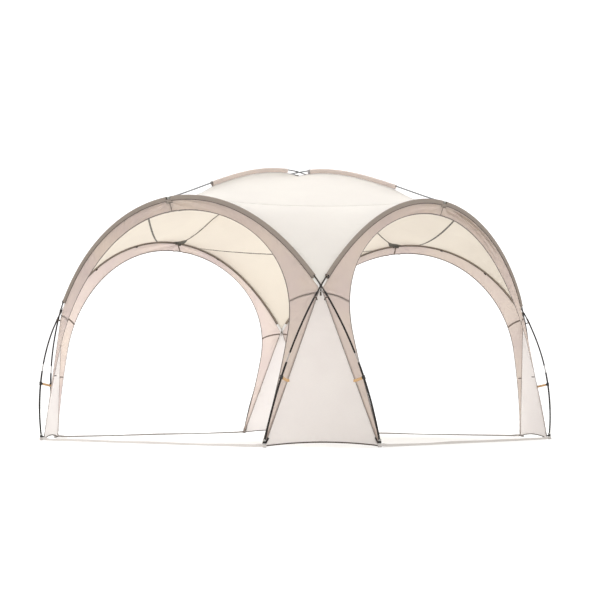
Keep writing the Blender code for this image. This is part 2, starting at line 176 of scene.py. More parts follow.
def tube_tree():
    # A round tube with closed ends along a path of edges
    tree = bpy.data.node_groups.new("round_tube", "GeometryNodeTree")
    face = tree.interface
    face.new_socket("Path", in_out="INPUT", socket_type="NodeSocketGeometry")
    face.new_socket("Radius", in_out="INPUT", socket_type="NodeSocketFloat")
    face.new_socket("Sides", in_out="INPUT", socket_type="NodeSocketInt")
    face.new_socket("Material", in_out="INPUT", socket_type="NodeSocketMaterial")
    face.new_socket("Tube", in_out="OUTPUT", socket_type="NodeSocketGeometry")
    nodes, links = tree.nodes, tree.links
    given, result = nodes.new("NodeGroupInput"), nodes.new("NodeGroupOutput")
    path, ring = nodes.new("GeometryNodeMeshToCurve"), nodes.new("GeometryNodeCurvePrimitiveCircle")
    sweep, smooth = nodes.new("GeometryNodeCurveToMesh"), nodes.new("GeometryNodeSetShadeSmooth")
    real, finish = nodes.new("GeometryNodeRealizeInstances"), nodes.new("GeometryNodeSetMaterial")
    sweep.inputs["Fill Caps"].default_value = True
    links.new(given.outputs["Path"], path.inputs["Mesh"])
    links.new(given.outputs["Radius"], ring.inputs["Radius"])
    links.new(given.outputs["Sides"], ring.inputs["Resolution"])
    links.new(path.outputs["Curve"], sweep.inputs["Curve"])
    links.new(ring.outputs["Curve"], sweep.inputs["Profile Curve"])
    links.new(sweep.outputs["Mesh"], smooth.inputs["Geometry"])
    links.new(smooth.outputs["Geometry"], real.inputs["Geometry"])
    links.new(real.outputs["Geometry"], finish.inputs["Geometry"])
    links.new(given.outputs["Material"], finish.inputs["Material"])
    links.new(finish.outputs["Geometry"], result.inputs["Tube"])
    return tree


def grow(name, paths, tree, inputs):
    # Runs a geometry tree along lines of points and keeps the result as a plain piece
    lines = bpy.data.meshes.new(f"{name}_lines")
    edges, start = [], 0
    for path in paths:
        edges += [(start + i, start + i + 1) for i in range(len(path) - 1)]
        start += len(path)
    lines.from_pydata([tuple(point) for path in paths for point in path], edges, [])
    guide = bpy.data.objects.new(f"{name}_guide", lines)
    bpy.context.scene.collection.objects.link(guide)
    modifier = guide.modifiers.new("grow", "NODES")
    modifier.node_group = tree
    for item in tree.interface.items_tree:
        if item.item_type == "SOCKET" and item.in_out == "INPUT" and item.name in inputs:
            modifier[item.identifier] = inputs[item.name]
    grown = bpy.data.meshes.new_from_object(guide.evaluated_get(bpy.context.evaluated_depsgraph_get()))
    grown.name = name
    bpy.data.objects.remove(guide, do_unlink=True)
    piece = bpy.data.objects.new(name, grown)
    bpy.context.scene.collection.objects.link(piece)
    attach(piece, "root")
    return piece


ROUND_TUBE = tube_tree()


def tube(name, paths, radius, material, sides=16):
    return grow(name, paths, ROUND_TUBE, {"Radius": radius, "Sides": sides, "Material": material})


def speckled(name, colour, rough_low, rough_high, scale, bump=0.0, metallic=0.0, specular=0.5):
    # A hard finish with an uneven gloss and colour and, where bump is given, a fine grain
    made, nodes, links, shader = new_material(name, colour, rough_low, metallic, specular)
    place, grain = nodes.new("ShaderNodeTexCoord"), nodes.new("ShaderNodeTexNoise")
    gloss, tint = nodes.new("ShaderNodeMapRange"), nodes.new("ShaderNodeMix")
    grain.inputs["Scale"].default_value = scale
    grain.inputs["Detail"].default_value = 5.0
    gloss.inputs["To Min"].default_value = rough_low
    gloss.inputs["To Max"].default_value = rough_high
    tint.data_type = "RGBA"
    tint.inputs["A"].default_value = (*[part * 0.82 for part in colour], 1.0)
    tint.inputs["B"].default_value = (*[min(1.0, part * 1.2) for part in colour], 1.0)
    links.new(place.outputs["Object"], grain.inputs["Vector"])
    links.new(grain.outputs["Fac"], gloss.inputs["Value"])
    links.new(grain.outputs["Fac"], tint.inputs["Factor"])
    links.new(gloss.outputs["Result"], shader.inputs["Roughness"])
    links.new(tint.outputs["Result"], shader.inputs["Base Color"])
    if bump:
        dent = nodes.new("ShaderNodeBump")
        dent.inputs["Strength"].default_value = 0.5
        dent.inputs["Distance"].default_value = bump
        links.new(grain.outputs["Fac"], dent.inputs["Height"])
        links.new(dent.outputs["Normal"], shader.inputs["Normal"])
    return made


def wound(centre, wide, tall, run, turns, pitch, points=20):
    # A line that goes round a joint a few times: wide and tall are half the loop's size as vectors
    angles = np.linspace(0, 2 * math.pi * turns, points * turns + 1)
    along = (angles / (2 * math.pi) - turns / 2) * pitch
    return (
        centre
        + np.cos(angles)[:, None] * wide
        + np.sin(angles)[:, None] * tall
        + along[:, None] * run
    )


BLACK_FIBREGLASS = speckled("black_fibreglass", FIBREGLASS_BLACK, 0.38, 0.60, 120.0, specular=0.35)
BLACK_ELASTIC = speckled("black_elastic", ELASTIC_BLACK, 0.75, 0.95, 900.0, bump=0.0003, specular=0.2)
arch_t = np.linspace(-CROSSING - LEG_START, CROSSING + LEG_START, ARCH_ROD_POINTS)
for side, label in enumerate(SIDES):
    line = spin(arch_centre(side, arch_t), side)
    rod = tube(f"arch_rod_{label}", [line], POLE_RADIUS, BLACK_FIBREGLASS)
    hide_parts(f"arch_pole_{label}")
for corner, label in enumerate(CORNERS):
    middle = arch_line(np.array(CROSSING))
    down = unit(np.cross(CORNER_OUT, (1.0, 1.0, 0.0)))
    level = unit(np.array((1.0, 1.0, 0.0)))
    reach = POLE_PASS + POLE_RADIUS + LASHING_CORD
    loops = [
        wound(middle, CORNER_OUT * reach, down * 0.0125, level, LASHING_TURNS, LASHING_CORD * 2.1),
        wound(middle, CORNER_OUT * (reach + 0.0008), level * 0.0085, down, LASHING_TURNS, LASHING_CORD * 2.1),
    ]
    loops = [spin(loop, corner) for loop in loops]
    tube(f"shoulder_lashing_{label}", loops, LASHING_CORD, BLACK_ELASTIC, sides=8)

# The leg poles. Black powder-coated steel tubes in two lengths, joined by a bare steel spigot that
# shows between them. The rod plugs into a ferrule at the top, and the foot is a pale moulded tip.
LEG_UPPER_RADIUS = 0.0063
LEG_LOWER_RADIUS = 0.0070
LEG_END = 0.0345
LEG_POINTS = 60
FERRULE_RADIUS = 0.0074
FERRULE_LENGTH = 0.030
SPIGOT_RADIUS = 0.0044
SPIGOT_TOP = 0.622
SPIGOT_FOOT = 0.560
FOOT_RADIUS = 0.0130
FOOT_NECK = 0.0098
FOOT_TOP = 0.054
FOOT_SHOULDER = 0.020
STEEL_BLACK = (0.014, 0.011, 0.010)
STEEL_BARE = (0.33, 0.31, 0.29)
TIP_GREY = (0.31, 0.305, 0.29)


def leg_line(side, end):
    # From just under the shoulder down to the foot, standing upright in its last centimetres
    low = math.acos(LEG_END / ARCH_TOP) * 2 / math.pi
    line = spin(arch_centre(side, end * np.linspace(CROSSING + LEG_START * 0.9, low, LEG_POINTS)), side)
    return np.vstack((line, line[-1] * (1, 1, 0.4)))


def at_height(line, heights):
    # Points of a falling line at the heights asked for
    return np.stack([np.interp(-np.asarray(heights), -line[:, 2], line[:, i]) for i in range(3)], axis=-1)


def between(line, top, foot):
    return at_height(line, np.linspace(top, foot, max(3, int(abs(top - foot) / 0.02))))


def finished(name, mesh, material, smooth_angle=40.0):
    # Closes a hard piece: faces turned outward, soft shading with crisp edges
    work = bmesh.new()
    work.from_mesh(mesh)
    bmesh.ops.recalc_face_normals(work, faces=work.faces)
    work.to_mesh(mesh)
    work.free()
    mesh.materials.append(material)
    mesh.shade_smooth()
    mesh.set_sharp_from_angle(angle=math.radians(smooth_angle))
    piece = bpy.data.objects.new(name, mesh)
    bpy.context.scene.collection.objects.link(piece)
    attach(piece, "root")
    return piece


def turned(name, lathes, material, sides=24, smooth_angle=40.0):
    # Solids of revolution: each lathe is a foot, an axis and a profile of radius and distance pairs
    verts, faces = [], []
    angles = np.linspace(0, 2 * math.pi, sides, endpoint=False)[:, None]
    for foot, axis, profile in lathes:
        axis = unit(np.asarray(axis, float))
        first = unit(np.cross(axis, (1.0, 0.2, 0.1)))
        second = np.cross(axis, first)
        start = len(verts)
        for radius, along in profile:
            ring = foot + axis * along + (np.cos(angles) * first + np.sin(angles) * second) * radius
            verts += ring.tolist()
        for j in range(len(profile) - 1):
            for i in range(sides):
                a, b = start + j * sides + i, start + j * sides + (i + 1) % sides
                faces.append((a, b, b + sides, a + sides))
        faces.append(tuple(range(start, start + sides))[::-1])
        faces.append(tuple(range(len(verts) - sides, len(verts))))
    mesh = bpy.data.meshes.new(name)
    mesh.from_pydata(verts, [], faces)
    return finished(name, mesh, material, smooth_angle)


BLACK_STEEL = speckled("black_steel", STEEL_BLACK, 0.42, 0.62, 600.0, bump=0.0002, specular=0.25)
BARE_STEEL = speckled("bare_steel", STEEL_BARE, 0.28, 0.50, 160.0, metallic=0.7)
TIP_PLASTIC = speckled("tip_plastic", TIP_GREY, 0.45, 0.65, 80.0, specular=0.4)
FOOT_PROFILE = (
    (FOOT_RADIUS * 0.80, 0.0), (FOOT_RADIUS * 0.97, 0.0015), (FOOT_RADIUS, 0.004),
    (FOOT_RADIUS, FOOT_SHOULDER), (FOOT_RADIUS * 0.94, FOOT_SHOULDER + 0.003),
    (FOOT_NECK, FOOT_SHOULDER + 0.007), (FOOT_NECK, FOOT_TOP - 0.012),
    (FOOT_NECK * 1.10, FOOT_TOP - 0.011), (FOOT_NECK * 1.10, FOOT_TOP - 0.003),
    (FOOT_NECK * 1.02, FOOT_TOP), (LEG_LOWER_RADIUS * 0.9, FOOT_TOP),
)
leg_lines = {}
for side, label in enumerate(SIDES):
    for end, hand in ((1, "r"), (-1, "l")):
        line = leg_line(side, end)
        name = f"{label}_{hand}"
        leg_lines[name] = line
        axis = unit(line[3] - line[0])
        ferrule = (
            (POLE_RADIUS * 0.9, -0.004), (FERRULE_RADIUS * 0.9, -0.003), (FERRULE_RADIUS, 0.0),
            (FERRULE_RADIUS, FERRULE_LENGTH), (LEG_UPPER_RADIUS, FERRULE_LENGTH + 0.002),
        )
        turned(f"leg_ferrule_{name}", [(line[0], axis, ferrule)], BLACK_STEEL)
        upper = [between(line, line[0, 2], SPIGOT_TOP)]
        tube(f"leg_upper_{name}", upper, LEG_UPPER_RADIUS, BLACK_STEEL)
        spigot = [between(line, SPIGOT_TOP + 0.02, SPIGOT_FOOT - 0.02)]
        tube(f"leg_spigot_{name}", spigot, SPIGOT_RADIUS, BARE_STEEL)
        lower = [between(line, SPIGOT_FOOT, FOOT_TOP - 0.01)]
        leg = tube(f"leg_lower_{name}", lower, LEG_LOWER_RADIUS, BLACK_STEEL)
        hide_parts(f"leg_pole_{name}")
        foot = line[-1] * (1, 1, 0)
        turned(f"foot_tip_{name}", [(foot, (0, 0, 1), FOOT_PROFILE)], TIP_PLASTIC)

# The roof poles. Two grey fibreglass rods from arch top to arch top that cross at the crown, where a short
# elastic ties them. Each end plugs into a black moulded hub that clips over the arch pole.
CROWN = 2.322
ROOF_POLE_CURVE = 1.390
CROWN_BLEND = 0.12
ROOF_ROD_POINTS = 44
HUB_HALF = 0.015
HUB_RADIUS = 0.0088
HUB_SOCKET = 0.034
HUB_GREY = (0.24, 0.235, 0.21)
FIBREGLASS_GREY = (0.20, 0.20, 0.205)


def roof_centre(side, s):
    # s runs from 0 at the crown to 1 at the arch top
    s = np.asarray(s, float)
    way = 1 if side % 2 == 0 else -1
    fall = ROOF_POLE_CURVE * s**2 - (ROOF_POLE_CURVE - 1) * s**4
    lift = way * POLE_PASS * np.exp(-((s / CROWN_BLEND) ** 2))
    return np.stack((s * 0, -ARCH_REACH * s, CROWN - (CROWN - ARCH_TOP) * fall + lift), axis=-1)


def roof_frame(side, s):
    s = np.asarray(s, float)
    run = unit(roof_centre(side, s + SLOPE_STEP) - roof_centre(side, s - SLOPE_STEP))
    out = np.zeros_like(run) - (1.0, 0.0, 0.0)
    return roof_centre(side, s), np.cross(out, run), out


HUB_PLASTIC = speckled("hub_plastic", HUB_GREY, 0.45, 0.65, 300.0, bump=0.0002, specular=0.35)
GREY_FIBREGLASS = speckled("grey_fibreglass", FIBREGLASS_GREY, 0.38, 0.60, 120.0, specular=0.35)
roof_s = np.linspace(0, 1 - POLE_RADIUS / ARCH_REACH, ROOF_ROD_POINTS)
for side, name in ((0, "front_back"), (1, "left_right")):
    near, far = spin(roof_centre(side, roof_s), side), spin(roof_centre(side, roof_s[1:]), side + 2)
    rod = tube(f"roof_rod_{name}", [np.vstack((far[::-1], near))], POLE_RADIUS, GREY_FIBREGLASS)
    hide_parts(f"roof_pole_{name}")
reach = POLE_PASS + POLE_RADIUS + LASHING_CORD
diagonals = [unit(np.array((1.0, hand, 0.0))) for hand in (1.0, -1.0)]
crown_loops = [
    wound(
        np.array((0, 0, CROWN)), np.array((0, 0, reach + 0.0008 * turn)), diagonals[turn] * 0.011,
        diagonals[1 - turn], LASHING_TURNS, LASHING_CORD * 2.1,
    )
    for turn in (0, 1)
]
tube("crown_lashing", crown_loops, LASHING_CORD, BLACK_ELASTIC, sides=8)
for side, label in enumerate(SIDES):
    top, socket = spin(arch_line(np.array(0.0)), side), spin(roof_centre(side, np.array((1.0, 0.9))), side)
    clamp = (
        (POLE_RADIUS, 0.0), (HUB_RADIUS * 0.94, 0.0), (HUB_RADIUS, 0.0012),
        (HUB_RADIUS, HUB_HALF * 2 - 0.0012), (HUB_RADIUS * 0.94, HUB_HALF * 2), (POLE_RADIUS, HUB_HALF * 2),
    )
    cup = (
        (HUB_RADIUS * 0.9, 0.0), (HUB_RADIUS * 0.9, HUB_SOCKET - 0.003),
        (HUB_RADIUS * 0.96, HUB_SOCKET - 0.002), (HUB_RADIUS * 0.9, HUB_SOCKET), (POLE_RADIUS, HUB_SOCKET),
    )
    along = spin(np.array((1.0, 0.0, 0.0)), side)
    lathes = [(top - along * HUB_HALF, along, clamp), (socket[0], socket[1] - socket[0], cup)]
    turned(f"arch_top_hub_{label}", lathes, HUB_PLASTIC)

# The pole sleeves. Long tubes of taupe polyester, round over the rod and pinched below it, where one
# seam holds the sleeve, the border and the roof together. Small black toggles sit on that seam.
SLEEVE_ROUND = 0.0098
SLEEVE_DROP = 0.0275
SLEEVE_HEM_HALF = 0.0016
SLEEVE_WALL = 0.0008
SLEEVE_PUCKER = 0.0012
SLEEVE_END_HEM = 0.012
SLEEVE_TOP_GAP = 0.009
SLEEVE_FOOT_GAP = 0.030
ROOF_SLEEVE_START = 0.085
ROOF_SLEEVE_END = 0.70
ARCH_SLEEVE_ROWS = 200
ROOF_SLEEVE_ROWS = 130
SLEEVE_BAND = 0.010
CROWN_BAND = 0.026
# Painted shade: a thin dark cord along each side of a sleeve's seam stands for the shade under the sleeve. Its radius
# and dark brown are set here
SLEEVE_SHADE_LINE_RADIUS = 0.0020
TOGGLE_PLACES = (0.333, 0.665)
TOGGLE_LENGTH = 0.024
TOGGLE_RADIUS = 0.0042
TAUPE = (0.42, 0.36, 0.31)
PALE_TAUPE = (0.92, 0.85, 0.80)
SLEEVE_SHADE_BROWN = (0.075, 0.058, 0.048)
THREAD_BROWN = (0.21, 0.17, 0.14)
BAND_BROWN = (0.12, 0.105, 0.095)
BAND_GREY = (0.30, 0.285, 0.29)
YARN_PITCH = 0.0009


def cloth_material(name, face_colour, glow_colour, through, warm=0.0, mottle=0.045):
    # Woven polyester: crossed yarns, slubs along them, an uneven dye, and daylight coming through
    made, nodes, links, shader = new_material(name, face_colour, 0.80, specular=0.22)
    shader.inputs["Sheen Weight"].default_value = 0.12
    shader.inputs["Sheen Roughness"].default_value = 0.5
    place, glow = nodes.new("ShaderNodeTexCoord"), nodes.new("ShaderNodeBsdfTranslucent")
    dye, shade = nodes.new("ShaderNodeTexNoise"), nodes.new("ShaderNodeMapRange")
    dye.inputs["Scale"].default_value = 1.7
    dye.inputs["Detail"].default_value = 4.0
    dye.inputs["Roughness"].default_value = 0.62
    shade.inputs["From Min"].default_value = 0.32
    shade.inputs["From Max"].default_value = 0.68
    links.new(place.outputs["Object"], dye.inputs["Vector"])
    links.new(dye.outputs["Fac"], shade.inputs["Value"])
    slub, flat = nodes.new("ShaderNodeTexNoise"), nodes.new("ShaderNodeMapping")
    flat.inputs["Scale"].default_value = (60.0, 900.0, 1.0)
    slub.inputs["Scale"].default_value = 1.0
    slub.inputs["Detail"].default_value = 3.0
    links.new(place.outputs["UV"], flat.inputs["Vector"])
    links.new(flat.outputs["Vector"], slub.inputs["Vector"])
    for colour, target in ((face_colour, shader.inputs["Base Color"]), (glow_colour, glow.inputs["Color"])):
        tint, thread = nodes.new("ShaderNodeMix"), nodes.new("ShaderNodeMix")
        tint.data_type = thread.data_type = "RGBA"
        cool = (1 - mottle, 1 - mottle * 1.4, 1 - mottle * 1.4 + warm)
        hot = (1 + mottle * 0.5, 1 + mottle * 0.4, 1 + mottle * 0.2 - warm)
        tint.inputs["A"].default_value = (*[part * k for part, k in zip(colour, cool)], 1.0)
        tint.inputs["B"].default_value = (*[min(0.98, part * k) for part, k in zip(colour, hot)], 1.0)
        thread.blend_type = "MULTIPLY"
        thread.inputs["Factor"].default_value = 0.10
        links.new(shade.outputs["Result"], tint.inputs["Factor"])
        links.new(tint.outputs["Result"], thread.inputs["A"])
        links.new(slub.outputs["Fac"], thread.inputs["B"])
        links.new(thread.outputs["Result"], target)
    cross = nodes.new("ShaderNodeMath")
    cross.operation = "MAXIMUM"
    for spot, direction in enumerate(("X", "Y")):
        yarn = nodes.new("ShaderNodeTexWave")
        yarn.bands_direction = direction
        yarn.inputs["Scale"].default_value = 2 * math.pi / (20 * YARN_PITCH)
        yarn.inputs["Distortion"].default_value = 0.5
        links.new(place.outputs["UV"], yarn.inputs["Vector"])
        links.new(yarn.outputs["Fac"], cross.inputs[spot])
    weave, creases, rumple = (nodes.new(f"ShaderNode{kind}") for kind in ("Bump", "TexNoise", "Bump"))
    creases.inputs["Scale"].default_value = 9.0
    creases.inputs["Detail"].default_value = 4.0
    creases.inputs["Roughness"].default_value = 0.45
    rumple.inputs["Strength"].default_value = 0.35
    rumple.inputs["Distance"].default_value = 0.006
    weave.inputs["Strength"].default_value = 0.5
    weave.inputs["Distance"].default_value = 0.00015
    links.new(place.outputs["Object"], creases.inputs["Vector"])
    links.new(creases.outputs["Fac"], rumple.inputs["Height"])
    links.new(cross.outputs["Value"], weave.inputs["Height"])
    links.new(rumple.outputs["Normal"], weave.inputs["Normal"])
    links.new(weave.outputs["Normal"], shader.inputs["Normal"])
    links.new(weave.outputs["Normal"], glow.inputs["Normal"])
    blend = nodes.new("ShaderNodeMixShader")
    blend.inputs["Fac"].default_value = through
    links.new(shader.outputs["BSDF"], blend.inputs[1])
    links.new(glow.outputs["BSDF"], blend.inputs[2])
    links.new(blend.outputs["Shader"], nodes["Material Output"].inputs["Surface"])
    return made


def webbing_material(name, colour, rib_pitch=0.0016, mottle=0.08):
    # Woven tape: ribs straight across it, a slightly uneven dye and a dull face
    made, nodes, links, shader = new_material(name, colour, 0.85, specular=0.25)
    shader.inputs["Sheen Weight"].default_value = 0.15
    place, ribs = nodes.new("ShaderNodeTexCoord"), nodes.new("ShaderNodeTexWave")
    dye, tint, bump = (nodes.new(f"ShaderNode{kind}") for kind in ("TexNoise", "Mix", "Bump"))
    ribs.bands_direction = "Y"
    ribs.inputs["Scale"].default_value = 2 * math.pi / (20 * rib_pitch)
    ribs.inputs["Distortion"].default_value = 0.6
    dye.inputs["Scale"].default_value = 30.0
    dye.inputs["Detail"].default_value = 4.0
    tint.data_type = "RGBA"
    tint.inputs["A"].default_value = (*[part * (1 - mottle) for part in colour], 1.0)
    tint.inputs["B"].default_value = (*[min(0.98, part * (1 + mottle)) for part in colour], 1.0)
    bump.inputs["Strength"].default_value = 0.6
    bump.inputs["Distance"].default_value = 0.0003
    links.new(place.outputs["UV"], ribs.inputs["Vector"])
    links.new(place.outputs["Object"], dye.inputs["Vector"])
    links.new(dye.outputs["Fac"], tint.inputs["Factor"])
    links.new(tint.outputs["Result"], shader.inputs["Base Color"])
    links.new(ribs.outputs["Fac"], bump.inputs["Height"])
    links.new(bump.outputs["Normal"], shader.inputs["Normal"])
    return made


def grid_mesh(name, grids, ring=False, caps=False):
    # A mesh from grids of points, with a UV map in metres across and along the cloth
    verts, faces, places = [], [], []
    for grid in grids:
        rows, wide = grid.shape[:2]
        start, across = len(verts), wide if ring else wide - 1
        verts += grid.reshape(-1, 3).tolist()
        closed = np.concatenate((grid, grid[:, :1]), axis=1)
        v = np.concatenate(((0,), np.cumsum(np.linalg.norm(np.diff(grid, axis=0), axis=2).mean(axis=1))))
        u = np.concatenate(((0,), np.cumsum(np.linalg.norm(np.diff(closed, axis=1), axis=2).mean(axis=0))))
        for j in range(rows - 1):
            for i in range(across):
                a, b = start + j * wide + i, start + j * wide + (i + 1) % wide
                faces.append((a, b, b + wide, a + wide))
                places += [(u[i], v[j]), (u[i + 1], v[j]), (u[i + 1], v[j + 1]), (u[i], v[j + 1])]
        if caps:
            for row, order in ((0, -1), (rows - 1, 1)):
                faces.append(tuple(range(start + row * wide, start + (row + 1) * wide))[::order])
                places += [(u[i], v[row]) for i in range(wide)][::order]
    mesh = bpy.data.meshes.new(name)
    mesh.from_pydata(verts, [], faces)
    layer = mesh.uv_layers.new(name="cloth_map")
    layer.data.foreach_set("uv", np.array(places, float).ravel())
    return mesh


def cloth(name, grids, wall, material, ring=False, inner_face=None):
    # A sheet with a live wall. Where an inner-face material is given, the inner face takes it
    mesh = grid_mesh(name, grids, ring)
    mesh.materials.append(material)
    mesh.shade_smooth()
    piece = bpy.data.objects.new(name, mesh)
    bpy.context.scene.collection.objects.link(piece)
    solid = piece.modifiers.new("cloth_wall", "SOLIDIFY")
    solid.thickness = wall
    solid.offset = 0.0
    if inner_face:
        mesh.materials.append(inner_face)
        solid.material_offset = 1
    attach(piece, "root")
    return piece


def stitch_tree():
    # Short threads one after the other along a path, each a slim eight-sided bead
    tree = bpy.data.node_groups.new("stitches", "GeometryNodeTree")
    face = tree.interface
    face.new_socket("Path", in_out="INPUT", socket_type="NodeSocketGeometry")
    for socket in ("Pitch", "Length", "Thread"):
        face.new_socket(socket, in_out="INPUT", socket_type="NodeSocketFloat")
    face.new_socket("Material", in_out="INPUT", socket_type="NodeSocketMaterial")
    face.new_socket("Stitches", in_out="OUTPUT", socket_type="NodeSocketGeometry")
    nodes, links = tree.nodes, tree.links
    given, result = nodes.new("NodeGroupInput"), nodes.new("NodeGroupOutput")
    path, spaced = nodes.new("GeometryNodeMeshToCurve"), nodes.new("GeometryNodeResampleCurve")
    bead, size = nodes.new("GeometryNodeMeshUVSphere"), nodes.new("ShaderNodeCombineXYZ")
    run, turn = nodes.new("GeometryNodeInputTangent"), nodes.new("FunctionNodeAlignRotationToVector")
    place, real = nodes.new("GeometryNodeInstanceOnPoints"), nodes.new("GeometryNodeRealizeInstances")
    finish = nodes.new("GeometryNodeSetMaterial")
    spaced.mode = "LENGTH"
    bead.inputs["Segments"].default_value = 4
    bead.inputs["Rings"].default_value = 2
    bead.inputs["Radius"].default_value = 0.5
    turn.axis = "Z"
    links.new(given.outputs["Path"], path.inputs["Mesh"])
    links.new(path.outputs["Curve"], spaced.inputs["Curve"])
    links.new(given.outputs["Pitch"], spaced.inputs["Length"])
    links.new(spaced.outputs["Curve"], place.inputs["Points"])
    links.new(bead.outputs["Mesh"], place.inputs["Instance"])
    links.new(run.outputs["Tangent"], turn.inputs["Vector"])
    links.new(turn.outputs["Rotation"], place.inputs["Rotation"])
    links.new(given.outputs["Thread"], size.inputs["X"])
    links.new(given.outputs["Thread"], size.inputs["Y"])
    links.new(given.outputs["Length"], size.inputs["Z"])
    links.new(size.outputs["Vector"], place.inputs["Scale"])
    links.new(place.outputs["Instances"], real.inputs["Geometry"])
    links.new(real.outputs["Geometry"], finish.inputs["Geometry"])
    links.new(given.outputs["Material"], finish.inputs["Material"])
    links.new(finish.outputs["Geometry"], result.inputs["Stitches"])
    return tree


STITCHES = stitch_tree()


def sew(name, paths, material, pitch=0.0065, length=0.0044, thread=0.0008):
    return grow(name, paths, STITCHES, {"Pitch": pitch, "Length": length, "Thread": thread, "Material": material})


def sleeve_section(grown=0.0):
    # Points round the sleeve as (up, out) pairs: over the rod, then down both sides to the seam
    angles = np.radians(np.linspace(0, 104, 10))
    right = np.stack((np.cos(angles), np.sin(angles)), axis=-1) * (SLEEVE_ROUND + grown)
    seam = np.array(((-SLEEVE_DROP - grown, SLEEVE_HEM_HALF + grown),))
    share = np.linspace(0, 1, 7)[1:-1, None]
    side = right[-1] * (1 - share) + seam * share
    half = np.vstack((right, side, seam))
    return np.vstack((half, (half[1:] * (1, -1))[::-1]))


def sleeve_grid(frames, seed, grown=0.0, hems=True):
    centre, up, out = frames
    section = sleeve_section(grown)
    rng = np.random.default_rng(seed)
    length = np.concatenate(((0,), np.cumsum(np.linalg.norm(np.diff(centre, axis=0), axis=1))))
    waves = sum(
        np.sin(2 * math.pi * length / pitch + rng.uniform(0, 6.28)) * rng.uniform(0.5, 1.0)
        for pitch in (0.029, 0.047, 0.083, 0.19)
    ) / 3
    slack = np.clip((SLEEVE_ROUND - section[:, 0]) / (2 * SLEEVE_ROUND), 0, 1)
    slack = slack * np.clip((section[:, 0] + SLEEVE_DROP) / 0.01, 0, 1)
    swell = 1 + waves[:, None] * slack[None, :] * SLEEVE_PUCKER / SLEEVE_ROUND
    from_end = np.minimum(length, length[-1] - length)
    folded = np.where((from_end < SLEEVE_END_HEM) & hems, 1.05, 1.0)[:, None]
    rise = section[:, 0] * np.where(section[:, 0] > 0, folded, 1.0)
    side = section[:, 1] * swell * folded
    return centre[:, None] + up[:, None] * rise[..., None] + out[:, None] * side[..., None]


def sleeve_line(frames, rise, out):
    return frames[0] + frames[1] * rise + frames[2] * out


SLEEVE_CLOTH = cloth_material("sleeve_cloth", TAUPE, TAUPE, 0.45)
CROWN_SLEEVE_CLOTH = cloth_material("crown_sleeve_cloth", PALE_TAUPE, PALE_TAUPE, 0.55)
# Painted shade: the dark brown finish of the cords that stand for the shade under the sleeves
SLEEVE_SHADE_LINE = webbing_material("sleeve_painted_shade", SLEEVE_SHADE_BROWN)
THREAD = webbing_material("thread_brown", THREAD_BROWN)
END_BAND = webbing_material("end_band", BAND_BROWN)
CROWN_CUFF = webbing_material("crown_cuff", BAND_GREY)
BLACK_PLASTIC = speckled("black_plastic", (0.02, 0.018, 0.017), 0.4, 0.6, 500.0, bump=0.0002, specular=0.4)
TOGGLE_PROFILE = [
    (TOGGLE_RADIUS * wide, TOGGLE_LENGTH * (along - 0.5))
    for wide, along in (
        (0.45, 0.0), (0.85, 0.04), (1.0, 0.14), (1.0, 0.34), (0.62, 0.42),
        (0.62, 0.58), (1.0, 0.66), (1.0, 0.86), (0.85, 0.96), (0.45, 1.0),
    )
]
